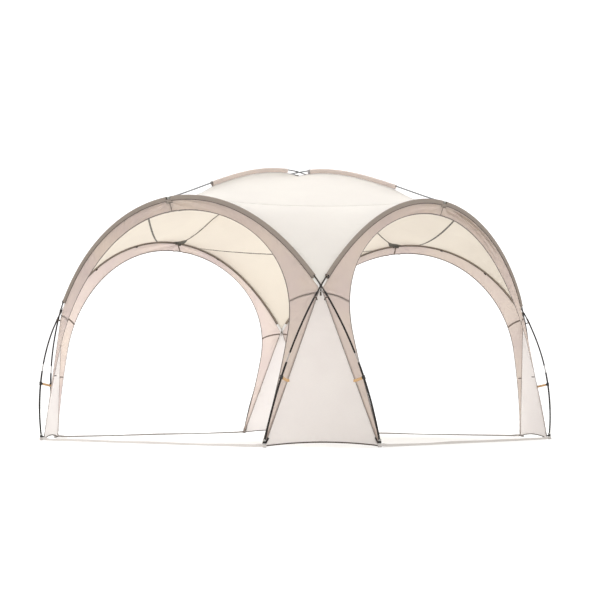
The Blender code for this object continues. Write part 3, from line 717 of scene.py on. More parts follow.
for side, label in enumerate(SIDES):
    toggles, loops, threads, shade_cords = [], [], [], []
    for end, hand in ((1, "r"), (-1, "l")):
        steps = np.linspace(SLEEVE_TOP_GAP, CROSSING - SLEEVE_FOOT_GAP, ARCH_SLEEVE_ROWS) * end
        frames = [spin(part, side) for part in arch_frame(side, steps[::end])]
        grid = sleeve_grid(frames, side * 3 + end + 1)
        sleeve = cloth(f"pole_sleeve_{label}_{hand}", [grid], SLEEVE_WALL, SLEEVE_CLOTH, True)
        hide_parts(f"arch_sleeve_{label}_{hand}")
        # Painted shade: dark cords along both sides of the seam, standing for the shade under the sleeve
        shade_cords.append(sleeve_line(frames, -SLEEVE_DROP + 0.0012, SLEEVE_HEM_HALF + 0.0012))
        shade_cords.append(sleeve_line(frames, -SLEEVE_DROP + 0.0006, -SLEEVE_HEM_HALF - 0.0026))
        threads.append(sleeve_line(frames, -SLEEVE_DROP + 0.0060, 0.0044))
        for place in TOGGLE_PLACES:
            middle, up, out = (part[None] for part in arch_frame(side, np.array(place * CROSSING * end)))
            run = np.cross(up, out)[0]
            spot = (middle - up * (SLEEVE_DROP + 0.004) - out * 0.009)[0]
            toggles.append((spin(spot, side), spin(run, side), TOGGLE_PROFILE))
            loop = wound(spot + out[0] * 0.004 + up[0] * 0.003, out[0] * 0.0065, up[0] * 0.0048, run, 1, 0.0012)
            loops.append(spin(loop, side))
    middle, up, out = (part[None] for part in arch_frame(side, np.array(-(CROSSING - SLEEVE_FOOT_GAP - 0.002))))
    run = np.cross(up, out)[0]
    spot = (middle - up * 0.004 + out * 0.0145)[0]
    toggles.append((spin(spot - run * 0.004, side), spin(run + up[0] * 0.5, side), TOGGLE_PROFILE))
    loops.append(spin(wound(middle[0], up[0] * 0.0125, out[0] * 0.0125, run, 2, 0.0024), side))
    turned(f"sleeve_toggles_{label}", toggles, BLACK_PLASTIC, sides=16)
    tube(f"toggle_loops_{label}", loops, LASHING_CORD, BLACK_ELASTIC, sides=8)
    tube(f"sleeve_piping_{label}", shade_cords, SLEEVE_SHADE_LINE_RADIUS, SLEEVE_SHADE_LINE, sides=8)

    steps = np.linspace(ROOF_SLEEVE_START, ROOF_SLEEVE_END, ROOF_SLEEVE_ROWS)
    frames = [spin(part, side) for part in roof_frame(side, steps)]
    rod = "roof_rod_front_back" if side % 2 == 0 else "roof_rod_left_right"
    grid = sleeve_grid(frames, 20 + side)
    sleeve = cloth(f"crown_sleeve_{label}", [grid], SLEEVE_WALL, CROWN_SLEEVE_CLOTH, True)
    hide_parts(f"roof_sleeve_{label}")
    for out in (0.0044, -0.0044):
        threads.append(sleeve_line(frames, -SLEEVE_DROP + 0.0060, out))
    if side % 2 == 0:
        band_ends = (ROOF_SLEEVE_END - 0.001 - SLEEVE_BAND / ARCH_REACH, ROOF_SLEEVE_END - 0.001)
    else:
        band_ends = (ROOF_SLEEVE_START + 0.0015, ROOF_SLEEVE_START + 0.0015 + CROWN_BAND / ARCH_REACH)
    part = [spin(f, side) for f in roof_frame(side, np.linspace(*band_ends, 6))]
    band_cloth = END_BAND if side % 2 == 0 else CROWN_CUFF
    bands = [sleeve_grid(part, 1, 0.0012, hems=False)]
    band = cloth(f"sleeve_band_{label}", bands, 0.0010, band_cloth, True)
    sew(f"sleeve_stitches_{label}", threads, THREAD)

# The roof. Four large quarters of cream polyester sewn together under the roof poles, with a corner
# piece sewn to each along a curved seam. A hem closes it against the sleeves of the arches.
CLOTH_WALL = 0.0012
ROOF_EDGE_DROP = 0.014
ROOF_EDGE_RISE = 0.008
ROOF_EDGE_IN = 0.0081
ROOF_EDGE_IN_MORE = 0.0038
ROOF_HEM = ((-0.0195, -0.0062), (-0.0262, -0.0034))
RIDGE_DROP = 0.0294
SEAM_SAG = 0.050
ROOF_SLACK = 0.020
CORNER_CUT = CROSSING / 6
CORNER_END = CROSSING - 0.016
EDGE_SHARE = 0.2
ROOF_CELLS = 128
CORNER_ROWS = 110
CORNER_COLUMNS = 56
HEM_ROWS = 150
PANEL_FOOT_REACH = 2.071
PANEL_FOOT_HALF = 0.381
PANEL_TOP_REACH = 2.008
PANEL_TOP_HALF = 0.012
PANEL_TOP = 1.045
PANEL_LIFT = 0.024
HEM_HEIGHT = 0.0049
TAPE_WIDTH = 0.0075
TAPE_WALL = 0.0008
TAPE_LIFT = 0.0012
EDGE_TURNS = {"left": 0, "top": 1, "right": 2, "foot": 3}
ROOF_FACE = (0.95, 0.955, 0.96)
ROOF_GLOW = (0.85, 0.84, 0.82)
# Painted shade: the roof's inner face takes a darker, yellower copy of the roof cloth, standing for the dimmer light
# inside the tent
ROOF_INSIDE_SHADE_FACE = (0.95, 0.87, 0.76)
ROOF_INSIDE_SHADE_GLOW = (0.68, 0.64, 0.575)
TAPE_BROWN = (0.085, 0.072, 0.058)
THREAD_CREAM = (0.66, 0.61, 0.54)
PATCH_GREY = (0.20, 0.195, 0.165)
EDGING_BROWN = (0.26, 0.215, 0.175)
PATCH_SIDE = 0.095


def lengths(grid):
    # How far each point of a cloth is from the first point of its row, along the row
    steps = np.linalg.norm(np.diff(grid, axis=1), axis=2)
    return np.concatenate((np.zeros((len(grid), 1)), np.cumsum(steps, axis=1)), axis=1)


def face_ways(grid):
    return unit(np.cross(np.gradient(grid, axis=1), np.gradient(grid, axis=0)))


def inset(grid, edge, distance, lift=0.0):
    # The line on a cloth that keeps a distance from one of its edges, lifted off its outer face
    laid = np.rot90(grid + face_ways(grid) * lift, EDGE_TURNS[edge])
    away = lengths(np.rot90(grid, EDGE_TURNS[edge]))
    return np.array([[np.interp(distance, a, row[:, k]) for k in range(3)] for a, row in zip(away, laid)])


def tape(grid, edge, start, end, lift):
    return np.stack([inset(grid, edge, d, lift) for d in np.linspace(start, end, 3)], axis=1)


def on_cloth(grid, rows, columns, lift=0.0):
    # Points on a cloth at rows and columns that may lie between the grid's own, lifted off its face
    rows, columns = np.broadcast_arrays(np.asarray(rows, float), np.asarray(columns, float))
    j = np.clip(np.floor(rows).astype(int), 0, grid.shape[0] - 2)
    i = np.clip(np.floor(columns).astype(int), 0, grid.shape[1] - 2)
    b, a = (rows - j)[..., None], (columns - i)[..., None]

    def mixed(field):
        return (field[j, i] * (1 - a) + field[j, i + 1] * a) * (1 - b) + (
            field[j + 1, i] * (1 - a) + field[j + 1, i + 1] * a) * b
    return mixed(grid) + unit(mixed(face_ways(grid))) * lift


def puckered(grid, edges, height, pitch, reach, seed):
    # Small waves that run in from sewn edges and die out within a few centimetres
    rng = np.random.default_rng(seed)
    face = face_ways(grid)
    for edge in edges:
        laid = np.rot90(grid, EDGE_TURNS[edge])
        away = lengths(laid) / reach
        along = lengths(laid[None, :, 0])[0]
        wave = sum(
            np.sin(2 * math.pi * along / (pitch * rng.uniform(0.7, 1.5)) + rng.uniform(0, 6.28)) for _ in range(4)
        ) / 2
        lift = wave[:, None] * away * np.exp(1 - away) * height
        grid = grid + face * np.rot90(lift, -EDGE_TURNS[edge])[..., None]
    return grid


def pressed(grid, folds, row=0):
    # Soft folds from one place on a cloth to another. Places are metres across from its left edge
    # and along from the given row; a fold has a half width and a height
    across = lengths(grid)
    along = lengths(np.swapaxes(grid, 0, 1)).T
    along = along - along[row]
    lift = np.zeros_like(across)
    for (across_0, along_0), (across_1, along_1), half, height in folds:
        run = np.array((across_1 - across_0, along_1 - along_0))
        size = float(np.hypot(*run))
        share = ((across - across_0) * run[0] + (along - along_0) * run[1]) / size**2
        off = ((across - across_0) * run[1] - (along - along_0) * run[0]) / size
        fade = np.sin(math.pi * np.clip(share, 0, 1)) ** 0.8
        lift = lift + height * fade * np.exp(-((off / half) ** 2))
    return grid + face_ways(grid) * lift[..., None]


def roof_edge(side, t):
    share = (np.asarray(t, float) / CROSSING) ** 2
    return arch_offset(side, t, -ROOF_EDGE_DROP + ROOF_EDGE_RISE * share, -ROOF_EDGE_IN - ROOF_EDGE_IN_MORE * share)


def ridge(side, s):
    # The seam under a roof pole, hanging free of it past the end of its sleeve
    centre, up, _ = roof_frame(side, s)
    past = np.clip((s - ROOF_SLEEVE_END) / (1 - ROOF_SLEEVE_END), 0, 1)
    drop = RIDGE_DROP + ROOF_SLACK * np.sin(math.pi * past)
    line = spin(centre - up * drop[:, None], side)
    return np.where((s >= 1)[:, None], roof_edge(side, 0.0), line)


def roof_rim(corner, cells):
    share = np.linspace(0, 1, cells + 1)
    along = np.clip((share - EDGE_SHARE) / (1 - 2 * EDGE_SHARE), 0, 1)[:, None]
    first, last = roof_edge(corner, CORNER_CUT), roof_edge(corner + 1, -CORNER_CUT)
    seam = first * (1 - along) + last * along - 4 * SEAM_SAG * along * (1 - along) * (0, 0, 1)
    near = roof_edge(corner, CORNER_CUT * np.clip(share / EDGE_SHARE, 0, 1))
    far = roof_edge(corner + 1, -CORNER_CUT * np.clip((1 - share) / EDGE_SHARE, 0, 1))
    return np.where((share < EDGE_SHARE)[:, None], near, np.where((share > 1 - EDGE_SHARE)[:, None], far, seam))


def taut(edges, cells):
    # Stretches a cloth between four edges: every free point moves to the middle of its neighbours,
    # first on a coarse grid, then on grids of twice as many cells
    size, grid = 8, None
    while size <= cells:
        top, foot, left, right = edges(size)
        fresh = np.zeros((size + 1, size + 1, 3))
        if grid is None:
            share = np.linspace(0, 1, size + 1)[:, None, None]
            fresh[:] = top * (1 - share) + foot * share
        else:
            fresh[::2, ::2] = grid
            fresh[1::2, ::2] = (grid[1:] + grid[:-1]) / 2
            fresh[:, 1::2] = (fresh[:, 2::2] + fresh[:, :-1:2]) / 2
        fresh[0], fresh[-1], fresh[:, 0], fresh[:, -1] = top, foot, left, right
        for _ in range(300 if size < 64 else 120):
            fresh[1:-1, 1:-1] = (fresh[2:, 1:-1] + fresh[:-2, 1:-1] + fresh[1:-1, 2:] + fresh[1:-1, :-2]) / 4
        grid, size = fresh, size * 2
    return grid


def roof_quarter(corner):
    # Rows run from the rim up to the crown, columns from one roof pole to the next
    def edges(size):
        s = np.linspace(1, 0, size + 1)
        crown = np.repeat(ridge(1, s[-1:]), size + 1, axis=0)
        return roof_rim(corner, size), crown, ridge(corner, s), ridge(corner + 1, s)
    return taut(edges, ROOF_CELLS)


def roof_corner(corner):
    # Rows run from the shoulder up to the seam, columns from one arch to the other
    across = np.linspace(0, 1, CORNER_COLUMNS + 1)[:, None]
    rows = [panel_point(corner, 1.0, across[:, 0] * 2 - 1)]
    for t in np.linspace(CROSSING, CORNER_CUT, CORNER_ROWS):
        share = min(1.0, (t - CORNER_CUT) / (CORNER_END - CORNER_CUT))
        sag = 4 * SEAM_SAG * (1 - share**2) * across * (1 - across)
        rows.append(roof_edge(corner, t) * (1 - across) + roof_edge(corner + 1, -t) * across - sag * (0, 0, 1))
    return np.array(rows)


def roof_hem(side, end):
    # The strip between the roof's edge and the sleeve's seam, down to the top of the foot panel: a
    # brown tape as far as the sleeve goes, and roof cloth past its end
    t = np.linspace(0, CROSSING, HEM_ROWS) * end
    close = np.clip((np.abs(t) - CROSSING + SLEEVE_FOOT_GAP) / SLEEVE_FOOT_GAP, 0, 1) * 0.0020
    columns = [roof_edge(side, t)]
    columns += [arch_offset(side, t, np.full_like(t, rise), out + close) for rise, out in ROOF_HEM]
    corner = side if end > 0 else side - 1
    rows = np.stack(columns, axis=1)
    last = np.repeat(panel_point(corner, 1.0, float(-end))[None, None], 3, axis=1)
    covered = int((np.abs(t) < CROSSING - SLEEVE_FOOT_GAP).sum())
    return rows[:covered + 1][::end], np.vstack((rows, last))[covered:][::end]


def panel_point(corner, height, along):
    # height runs from 0 at the hem to 1 at the shoulder, along from -1 to 1 between the folds
    height, along = np.broadcast_arrays(np.asarray(height, float), np.asarray(along, float))
    reach = PANEL_FOOT_REACH + (PANEL_TOP_REACH - PANEL_FOOT_REACH) * height
    half = PANEL_FOOT_HALF + (PANEL_TOP_HALF - PANEL_FOOT_HALF) * height
    hem = HEM_HEIGHT + PANEL_LIFT * (1 - along**2)
    z = hem + (PANEL_TOP - hem) * height
    x = (reach + half * along) / math.sqrt(2)
    y = (-reach + half * along) / math.sqrt(2)
    return spin(np.stack((x, y, z), axis=-1), corner)


def seam_tapes(name, strips, material):
    return cloth(name, strips, TAPE_WALL, material)


ROOF_CLOTH = cloth_material("roof_cloth", ROOF_FACE, ROOF_GLOW, 0.62, mottle=0.02)
# Painted shade: a darker, yellower copy of the roof cloth for its inner face
ROOF_INSIDE_SHADE = cloth_material("roof_inside_painted_shade", ROOF_INSIDE_SHADE_FACE, ROOF_INSIDE_SHADE_GLOW, 0.62, mottle=0.02)
TAPE = webbing_material("seam_tape", TAPE_BROWN)
CREAM_THREAD = webbing_material("thread_cream", THREAD_CREAM)
PATCH = cloth_material("patch_cloth", PATCH_GREY, PATCH_GREY, 0.4)
EDGING = webbing_material("edging_brown", EDGING_BROWN)
for corner, label in enumerate(CORNERS):
    near, far = SIDES[corner], SIDES[(corner + 1) % 4]
    quarter = puckered(roof_quarter(corner), ("left", "right", "top"), 0.0013, 0.085, 0.030, 40 + corner)
    lower = puckered(roof_corner(corner), ("left", "right", "foot"), 0.0012, 0.075, 0.026, 50 + corner)
    hems = [roof_hem(corner, 1), roof_hem(corner + 1, -1)]
    tapes = [tape(quarter, edge, 0.0, TAPE_WIDTH, -TAPE_LIFT) for edge in ("left", "right")]
    rim = tape(quarter, "top", 0.0, TAPE_WIDTH, -TAPE_LIFT)
    cut = round(ROOF_CELLS * EDGE_SHARE)
    tapes.append(rim[cut:-cut])
    tapes.append(tape(lower, "foot", 0.0, TAPE_WIDTH, -TAPE_LIFT))
    tapes = seam_tapes(f"roof_tapes_{label}", tapes, TAPE)
    edging = seam_tapes(f"roof_edging_{label}", [part[0] for part in hems], EDGING)
    hem = cloth(f"roof_hems_{label}", [part[1] for part in hems], CLOTH_WALL, ROOF_CLOTH)
    # The roof quarters and corner pieces take the painted-shade copy of the roof cloth on their inner face
    roof = cloth(f"roof_cloth_{label}", [quarter], CLOTH_WALL, ROOF_CLOTH, inner_face=ROOF_INSIDE_SHADE)
    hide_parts(f"roof_quarter_{label}")
    cell = PATCH_SIDE / 0.014
    out, over = np.linspace(0.15, cell, 7)[:, None], np.linspace(0, 1, 7)[None, :]
    ends = [
        on_cloth(quarter, out * over * 1.5, column + way * out * (1 - over), -TAPE_LIFT - 0.0006)
        for column, way in ((0, 1), (ROOF_CELLS, -1))
    ]
    cloth(f"roof_patches_{label}", ends, TAPE_WALL, PATCH)
    piece = cloth(f"corner_cloth_{label}", [lower], CLOTH_WALL, ROOF_CLOTH, inner_face=ROOF_INSIDE_SHADE)
    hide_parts(f"roof_corner_{label}")
    threads = []
    for lift in (0.0008, -0.0018):
        threads += [inset(quarter, edge, 0.0045, lift) for edge in ("left", "right")]
        threads += [inset(quarter, "top", 0.0045, lift)[cut:-cut], inset(lower, "foot", 0.0045, lift)]
        threads += [inset(lower, edge, 0.0060, lift) for edge in ("left", "right")]
    sew(f"roof_stitches_{label}", threads, CREAM_THREAD)

# The borders. A taupe band of thin polyester round each opening, sewn to the sleeve above it and to
# the foot panels beside it, seamed at the top and at both shoulders, and bound along its free edge.
BORDER_DROP = 0.0268
OPEN_HALF_WIDTH = 1.240
OPEN_TOP = 1.756
OPEN_WIDEST = 0.772
OPEN_FOOT_IN = 0.062
OPEN_REACH = (1.7457, -0.211, -0.1092, 0.0804)
SHOULDER_ANGLE = 1.447
SHOULDER_STEP = 0.02
SEAM_TOP = 1.036
SEAM_FALL = 0.056
SEAM_CURVE = 1.6
BORDER_LEG_ROWS = 90
BORDER_ARCH_ROWS = 440
BORDER_CELLS = 18
SEAM_LAP = 0.015
BINDING_HALF = 0.0050
BINDING_THICK = 0.0014
BORDER_FACE = (0.56, 0.505, 0.47)
BORDER_GLOW = (0.86, 0.80, 0.765)
BINDING_BROWN = (0.17, 0.145, 0.13)
SEAM_BROWN = (0.20, 0.16, 0.135)
TOP_PATCH = 0.013
TOP_PATCH_OUT = ((-0.0098, 0.0020), (-0.0150, 0.0052), (-0.0215, 0.0048), (-0.0268, 0.0026), (-0.0380, 0.0016))
TOP_PATCH_IN = ((-0.0098, -0.0030), (-0.0160, -0.0085), (-0.0262, -0.0052), (-0.0320, -0.0020), (-0.0420, -0.0016))
TOP_FOLDS = (
    ((0.004, 0.000), (0.080, 0.170), 0.010, -0.0085),
    ((0.012, 0.010), (0.050, 0.300), 0.012, 0.0085),
    ((0.030, 0.000), (0.115, 0.130), 0.009, 0.0055),
    ((0.020, 0.120), (0.045, 0.620), 0.011, -0.0070),
    ((0.050, 0.180), (0.090, 0.560), 0.012, 0.0065),
    ((0.006, -0.005), (0.065, -0.190), 0.011, 0.0080),
    ((0.020, -0.010), (0.030, -0.330), 0.012, -0.0075),
    ((0.060, 0.000), (0.100, -0.100), 0.009, 0.0050),
    ((0.040, -0.160), (0.085, -0.520), 0.013, 0.0060),
)
LONG_FOLDS = (
    ((0.006, 0.010), (0.024, 0.950), 0.0060, 0.0110),
    ((0.018, 0.000), (0.042, 0.880), 0.0055, -0.0100),
    ((0.032, 0.020), (0.058, 0.760), 0.0060, 0.0110),
    ((0.048, 0.040), (0.080, 0.640), 0.0055, -0.0090),
    ((0.066, 0.060), (0.100, 0.520), 0.0060, 0.0080),
    ((0.014, 0.300), (0.050, 1.120), 0.0060, -0.0085),
    ((0.040, 0.380), (0.092, 1.020), 0.0060, 0.0075),
)
SHOULDER_FOLDS = (
    ((0.010, 0.000), (0.150, 0.060), 0.010, 0.0060),
    ((0.010, 0.000), (0.140, -0.080), 0.011, -0.0060),
    ((0.020, 0.010), (0.085, 0.180), 0.013, -0.0070),
    ((0.015, -0.010), (0.070, -0.220), 0.013, 0.0065),
)


def opening_edge(z, hand):
    rise = (z - OPEN_WIDEST) / (OPEN_TOP - OPEN_WIDEST)
    above = OPEN_HALF_WIDTH * np.sqrt(np.clip(1 - rise**2, 0, 1))
    below = OPEN_HALF_WIDTH - OPEN_FOOT_IN * (1 - z / OPEN_WIDEST) ** 2
    reach = sum(factor * z**power for power, factor in enumerate(OPEN_REACH))
    return np.stack((hand * np.where(rise > 0, above, below), -reach, z), axis=-1)


def border_grid(side):
    # Rows run from the left foot over the arch to the right foot, columns from the sleeve to the opening
    drop = OPEN_TOP - OPEN_WIDEST
    shoulder = OPEN_WIDEST + drop * math.cos(SHOULDER_ANGLE) - SHOULDER_STEP
    share = np.linspace(0, 1, BORDER_LEG_ROWS + 1)[:-1]
    height = HEM_HEIGHT + (shoulder - HEM_HEIGHT) * share
    t = np.linspace(-CROSSING, CROSSING, BORDER_ARCH_ROWS + 1)
    arch_height = OPEN_WIDEST + drop * np.cos(SHOULDER_ANGLE * t / CROSSING)
    outer = np.vstack((
        panel_point(side - 1, share, 1.0),
        arch_offset(side, t, np.full_like(t, -BORDER_DROP), t * 0),
        panel_point(side, share, -1.0)[::-1],
    ))
    inner = np.vstack((
        spin(opening_edge(height, -1.0), side),
        spin(opening_edge(arch_height, np.where(t > 0, 1.0, -1.0)), side),
        spin(opening_edge(height, 1.0), side)[::-1],
    ))
    across = np.linspace(0, 1, BORDER_CELLS + 1)[None, :, None]
    return outer[:, None] * (1 - across) + inner[:, None] * across


def seam_strip(grid, rows, columns, half, lift):
    # A strip of tape that follows a seam across a cloth
    line, above = on_cloth(grid, rows, columns, lift), on_cloth(grid, rows, columns, lift + 0.01)
    across = unit(np.cross(above - line, np.gradient(line, axis=0))) * half
    return np.stack((line - across, line, line + across), axis=1)


def binding(grid, edge, half, thick):
    # A folded tape round a cloth's edge: a flat closed tube whose middle lies just inside the edge
    line, deeper = inset(grid, edge, half * 0.8), inset(grid, edge, half * 2.4)
    across = unit(line - deeper)
    out = unit(np.cross(across, np.gradient(line, axis=0)))
    angles = np.linspace(0, 2 * math.pi, 12, endpoint=False)
    wide, high = np.sign(np.cos(angles)) * np.abs(np.cos(angles)) ** 0.6 * half, np.sin(angles) * thick
    return line[:, None] + across[:, None] * wide[None, :, None] + out[:, None] * high[None, :, None]


BORDER_CLOTH = cloth_material("border_cloth", BORDER_FACE, BORDER_GLOW, 0.74, warm=0.02)
BINDING = webbing_material("binding_brown", BINDING_BROWN)
SEAM = webbing_material("seam_brown", SEAM_BROWN)
for side, label in enumerate(SIDES):
    grid = border_grid(side)
    top, left, right = BORDER_LEG_ROWS + BORDER_ARCH_ROWS // 2, BORDER_LEG_ROWS, BORDER_LEG_ROWS + BORDER_ARCH_ROWS
    grid = puckered(grid, ("left", "right"), 0.0009, 0.060, 0.020, 60 + side)
    grid = pressed(grid, TOP_FOLDS + LONG_FOLDS if label == "right" else TOP_FOLDS, top)
    for row, hand in ((left, -1), (right, 1)):
        folds = [((a, b * hand), (c, d * hand), half, high) for (a, b), (c, d), half, high in SHOULDER_FOLDS]
        grid = pressed(grid, folds, row)
    border = cloth(f"opening_border_{label}", [grid], CLOTH_WALL, BORDER_CLOTH)
    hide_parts(f"arch_border_{label}")
    edge = finished(
        f"edge_binding_{label}", grid_mesh(f"edge_binding_{label}", [binding(grid, "right", BINDING_HALF, BINDING_THICK)], True, True),
        BINDING, 60.0,
    )
    strips, outside, threads = [], [], []
    columns = np.arange(BORDER_CELLS + 1)
    height = SEAM_TOP - SEAM_FALL * (columns / BORDER_CELLS) ** SEAM_CURVE
    rising = [np.interp(z, grid[:top, i, 2], np.arange(top)) for i, z in enumerate(height)]
    falling = [np.interp(-z, -grid[top:, i, 2], np.arange(top, len(grid))) for i, z in enumerate(height)]
    for rows, half in ((rising, 0.0012), (np.full(BORDER_CELLS + 1, top), 0.0026), (falling, 0.0012)):
        strips.append(seam_strip(grid, rows, columns, TAPE_WIDTH, -TAPE_LIFT))
        outside.append(seam_strip(grid, rows, columns, half, TAPE_LIFT))
        for lift in (0.0008, -0.0018):
            beside = seam_strip(grid, rows, columns, 0.0040, lift)
            threads += [beside[:, 0], beside[:, 2]]
    laps = tape(grid, "left", 0.0015, SEAM_LAP, TAPE_LIFT)
    laps = seam_tapes(f"fold_laps_{label}", [laps[2:left - 3], laps[right + 4:-2]], BORDER_CLOTH)
    tapes = seam_tapes(f"border_tapes_{label}", strips, SEAM)
    lines = seam_tapes(f"border_seams_{label}", outside, SEAM)
    threads += [inset(grid, "right", 0.0085, lift) for lift in (0.0016, -0.0016)]
    sew(f"border_stitches_{label}", threads, THREAD)
    t = np.linspace(-TOP_PATCH, TOP_PATCH, 9)
    outer_patch, inner_patch = (
        np.stack([arch_offset(side, t, np.full_like(t, rise), np.full_like(t, out)) for rise, out in shape], axis=1)
        for shape in (TOP_PATCH_OUT, TOP_PATCH_IN)
    )
    patch = cloth(f"arch_top_patch_{label}", [outer_patch], TAPE_WALL, SLEEVE_CLOTH)
    inner_face = cloth(f"arch_top_lining_{label}", [inner_patch], TAPE_WALL, PATCH)

# The foot panels. A flat cream triangle under each shoulder, from its tie down to the two nearest
# feet, piped along both folds where the borders are sewn on, with a dark band on its arched hem. The
# piping is thick and dark to paint the shade that lies beside each fold.
PANEL_CELLS = 80
PANEL_HEM = 0.0085
# Painted shade: the fold piping is thicker and darker than the real piping, so that it draws the shade beside each
# fold
FOLD_PIPING_AND_SHADE_RADIUS = 0.0020
FOLD_TOGGLE_HEIGHT = 0.525
FOLD_TOGGLE_IN = 0.019
PANEL_FACE = (0.81, 0.755, 0.71)
PANEL_GLOW = (0.88, 0.87, 0.87)
HEM_BROWN = (0.085, 0.068, 0.056)
FOLD_SHADE_GREY = (0.19, 0.165, 0.15)
PANEL_FOLDS = (
    ((0.40, 0.030), (0.10, 0.420), 0.020, 0.0026), ((0.36, 0.030), (0.66, 0.420), 0.020, 0.0024),
    ((0.38, 0.520), (0.36, 1.000), 0.022, -0.0022), ((0.36, 0.560), (0.42, 0.980), 0.014, 0.0020),
)

PANEL_CLOTH = cloth_material("panel_cloth", PANEL_FACE, PANEL_GLOW, 0.66, mottle=0.025)
HEM_DARK_BAND = webbing_material("hem_dark_band", HEM_BROWN)
FOLD_PIPING_AND_SHADE = webbing_material("fold_piping_painted_shade", FOLD_SHADE_GREY)
for corner, label in enumerate(CORNERS):
    height = np.linspace(0, 1, PANEL_CELLS + 1)[:, None]
    grid = panel_point(corner, height, np.linspace(-1, 1, PANEL_CELLS + 1)[None, :])
    grid = puckered(grid, ("left", "right", "top"), 0.0011, 0.070, 0.022, 70 + corner)
    panel = cloth(f"corner_panel_{label}", [grid], CLOTH_WALL, PANEL_CLOTH)
    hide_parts(f"foot_panel_{label}")
    # A dark band on both faces along the arched hem
    hem = seam_tapes(f"panel_hem_{label}", [
        tape(grid, "top", 0.0, PANEL_HEM, lift) for lift in (TAPE_LIFT, -TAPE_LIFT)
    ], HEM_DARK_BAND)
    # Piping on both folds, darkened to paint the shade along the fold
    folds = [grid[:, 0], grid[:, -1]]
    shade_cords = tube(f"fold_piping_{label}", folds, FOLD_PIPING_AND_SHADE_RADIUS, FOLD_PIPING_AND_SHADE, sides=8)
    threads = []
    for lift in (0.0008, -0.0008):
        threads += [inset(grid, edge, 0.0060, lift)[2:-6] for edge in ("left", "right")]
        threads.append(inset(grid, "top", 0.0110, lift))
    sew(f"panel_stitches_{label}", threads, THREAD)
    share = (FOLD_TOGGLE_HEIGHT - HEM_HEIGHT) / (PANEL_TOP - HEM_HEIGHT)
    inward = spin(unit(np.array((-1.0, 1.0, 0.0))), corner)
    toggles, loops = [], []
    for end in (-1.0, 1.0):
        fold, above = panel_point(corner, np.array((share, share + 0.01)), end)
        toggles.append((fold + inward * FOLD_TOGGLE_IN, inward, TOGGLE_PROFILE))
        loops.append(wound(fold + inward * 0.010, inward * 0.0095, unit(above - fold) * 0.0045, inward * 0, 1, 0.0))
    turned(f"fold_toggles_{label}", toggles, BLACK_PLASTIC, sides=16)
    tube(f"fold_loops_{label}", loops, LASHING_CORD, BLACK_ELASTIC, sides=8)

# The ground straps. Pale webbing drawn tight along the ground from foot to foot on every side. Each
# is looped round a foot's base and sewn, and its inner edge lifts a little off the ground.
STRAP_WIDTH = 0.030
STRAP_HALF_WALL = 0.0009
STRAP_REACH = 1.7497
STRAP_HALF_SPAN = 1.1956
STRAP_TILT = math.radians(27)
STRAP_END_TILT = math.radians(72)
STRAP_GATHER = 0.010
STRAP_SETTLE = 0.055
STRAP_ROWS = 150
LOOP_FOOT = 0.0040
LOOP_HEIGHT = 0.0175
STRAP_GREY = (0.50, 0.465, 0.44)
THREAD_GREY = (0.25, 0.23, 0.215)


def swept(name, parts, material):
    # Flat tapes with rounded edges and closed ends: each part is a line, the direction of the tape's
    # width, half its width, and half its thickness
    grids = []
    angles = np.linspace(0, 2 * math.pi, 12, endpoint=False)
    wide, high = np.sign(np.cos(angles)) * np.abs(np.cos(angles)) ** 0.35, np.sin(angles)
    for line, across, half, wall in parts:
        run = unit(np.gradient(line, axis=0))
        out = unit(np.cross(run, np.broadcast_to(across, line.shape)))
        level = unit(np.cross(out, run)) * np.reshape(half, (-1, 1))
        grids.append(line[:, None] + level[:, None] * wide[None, :, None] + out[:, None] * wall * high[None, :, None])
    return finished(name, grid_mesh(name, grids, True, True), material, 60.0)


def ring_profile(radius, foot, height, wall=0.0016):
    return (
        (radius, foot), (radius + wall * 0.7, foot), (radius + wall, foot + 0.001),
        (radius + wall, foot + height - 0.001), (radius + wall * 0.7, foot + height), (radius, foot + height),
    )


STRAP = webbing_material("strap_webbing", STRAP_GREY, rib_pitch=0.0022)
STRAP_THREAD = webbing_material("thread_grey", THREAD_GREY)
for side, label in enumerate(SIDES):
    rng = np.random.default_rng(80 + side)
    x = STRAP_HALF_SPAN * np.sin(np.linspace(-math.pi / 2, math.pi / 2, STRAP_ROWS))
    near_end = np.exp(-(((STRAP_HALF_SPAN - np.abs(x)) / STRAP_SETTLE) ** 2))
    sway = sum(np.sin(x * rng.uniform(3, 9) + rng.uniform(0, 6.28)) for _ in range(3)) * math.radians(2.5)
    tilt = STRAP_TILT + (STRAP_END_TILT - STRAP_TILT) * near_end + sway * (1 - near_end)
    half = STRAP_WIDTH / 2 - STRAP_GATHER / 2 * near_end
    z = 0.0012 + half * np.sin(tilt) + STRAP_HALF_WALL + LOOP_FOOT * 0.5 * near_end
    line = spin(np.stack((x, np.full_like(x, -STRAP_REACH), z), axis=-1), side)
    across = spin(np.stack((x * 0, np.cos(tilt), np.sin(tilt)), axis=-1), side)
    strap = swept(f"ground_webbing_{label}", [(line, across, half, STRAP_HALF_WALL)], STRAP)
    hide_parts(f"ground_strap_{label}")
    rings, threads = [], []
    for end in (-1, 1):
        foot = spin(np.array((end * (STRAP_HALF_SPAN + FOOT_RADIUS), -STRAP_REACH, 0.0)), side)
        rings.append((foot, (0, 0, 1), ring_profile(FOOT_RADIUS * 0.99, LOOP_FOOT, LOOP_HEIGHT)))
        for away in (0.022, 0.026, 0.052, 0.056):
            at = np.abs(x - end * (STRAP_HALF_SPAN - away)).argmin()
            face = unit(np.cross(across[at], line[at + 1] - line[at]))
            for lift in (STRAP_HALF_WALL + 0.0002, -STRAP_HALF_WALL - 0.0002):
                ends = [line[at] + across[at] * half[at] * k + face * lift for k in np.linspace(-0.8, 0.8, 6)]
                threads.append(np.array(ends))
    turned(f"strap_loops_{label}", rings, STRAP)
    sew(f"strap_stitches_{label}", threads, STRAP_THREAD, pitch=0.004, length=0.003)

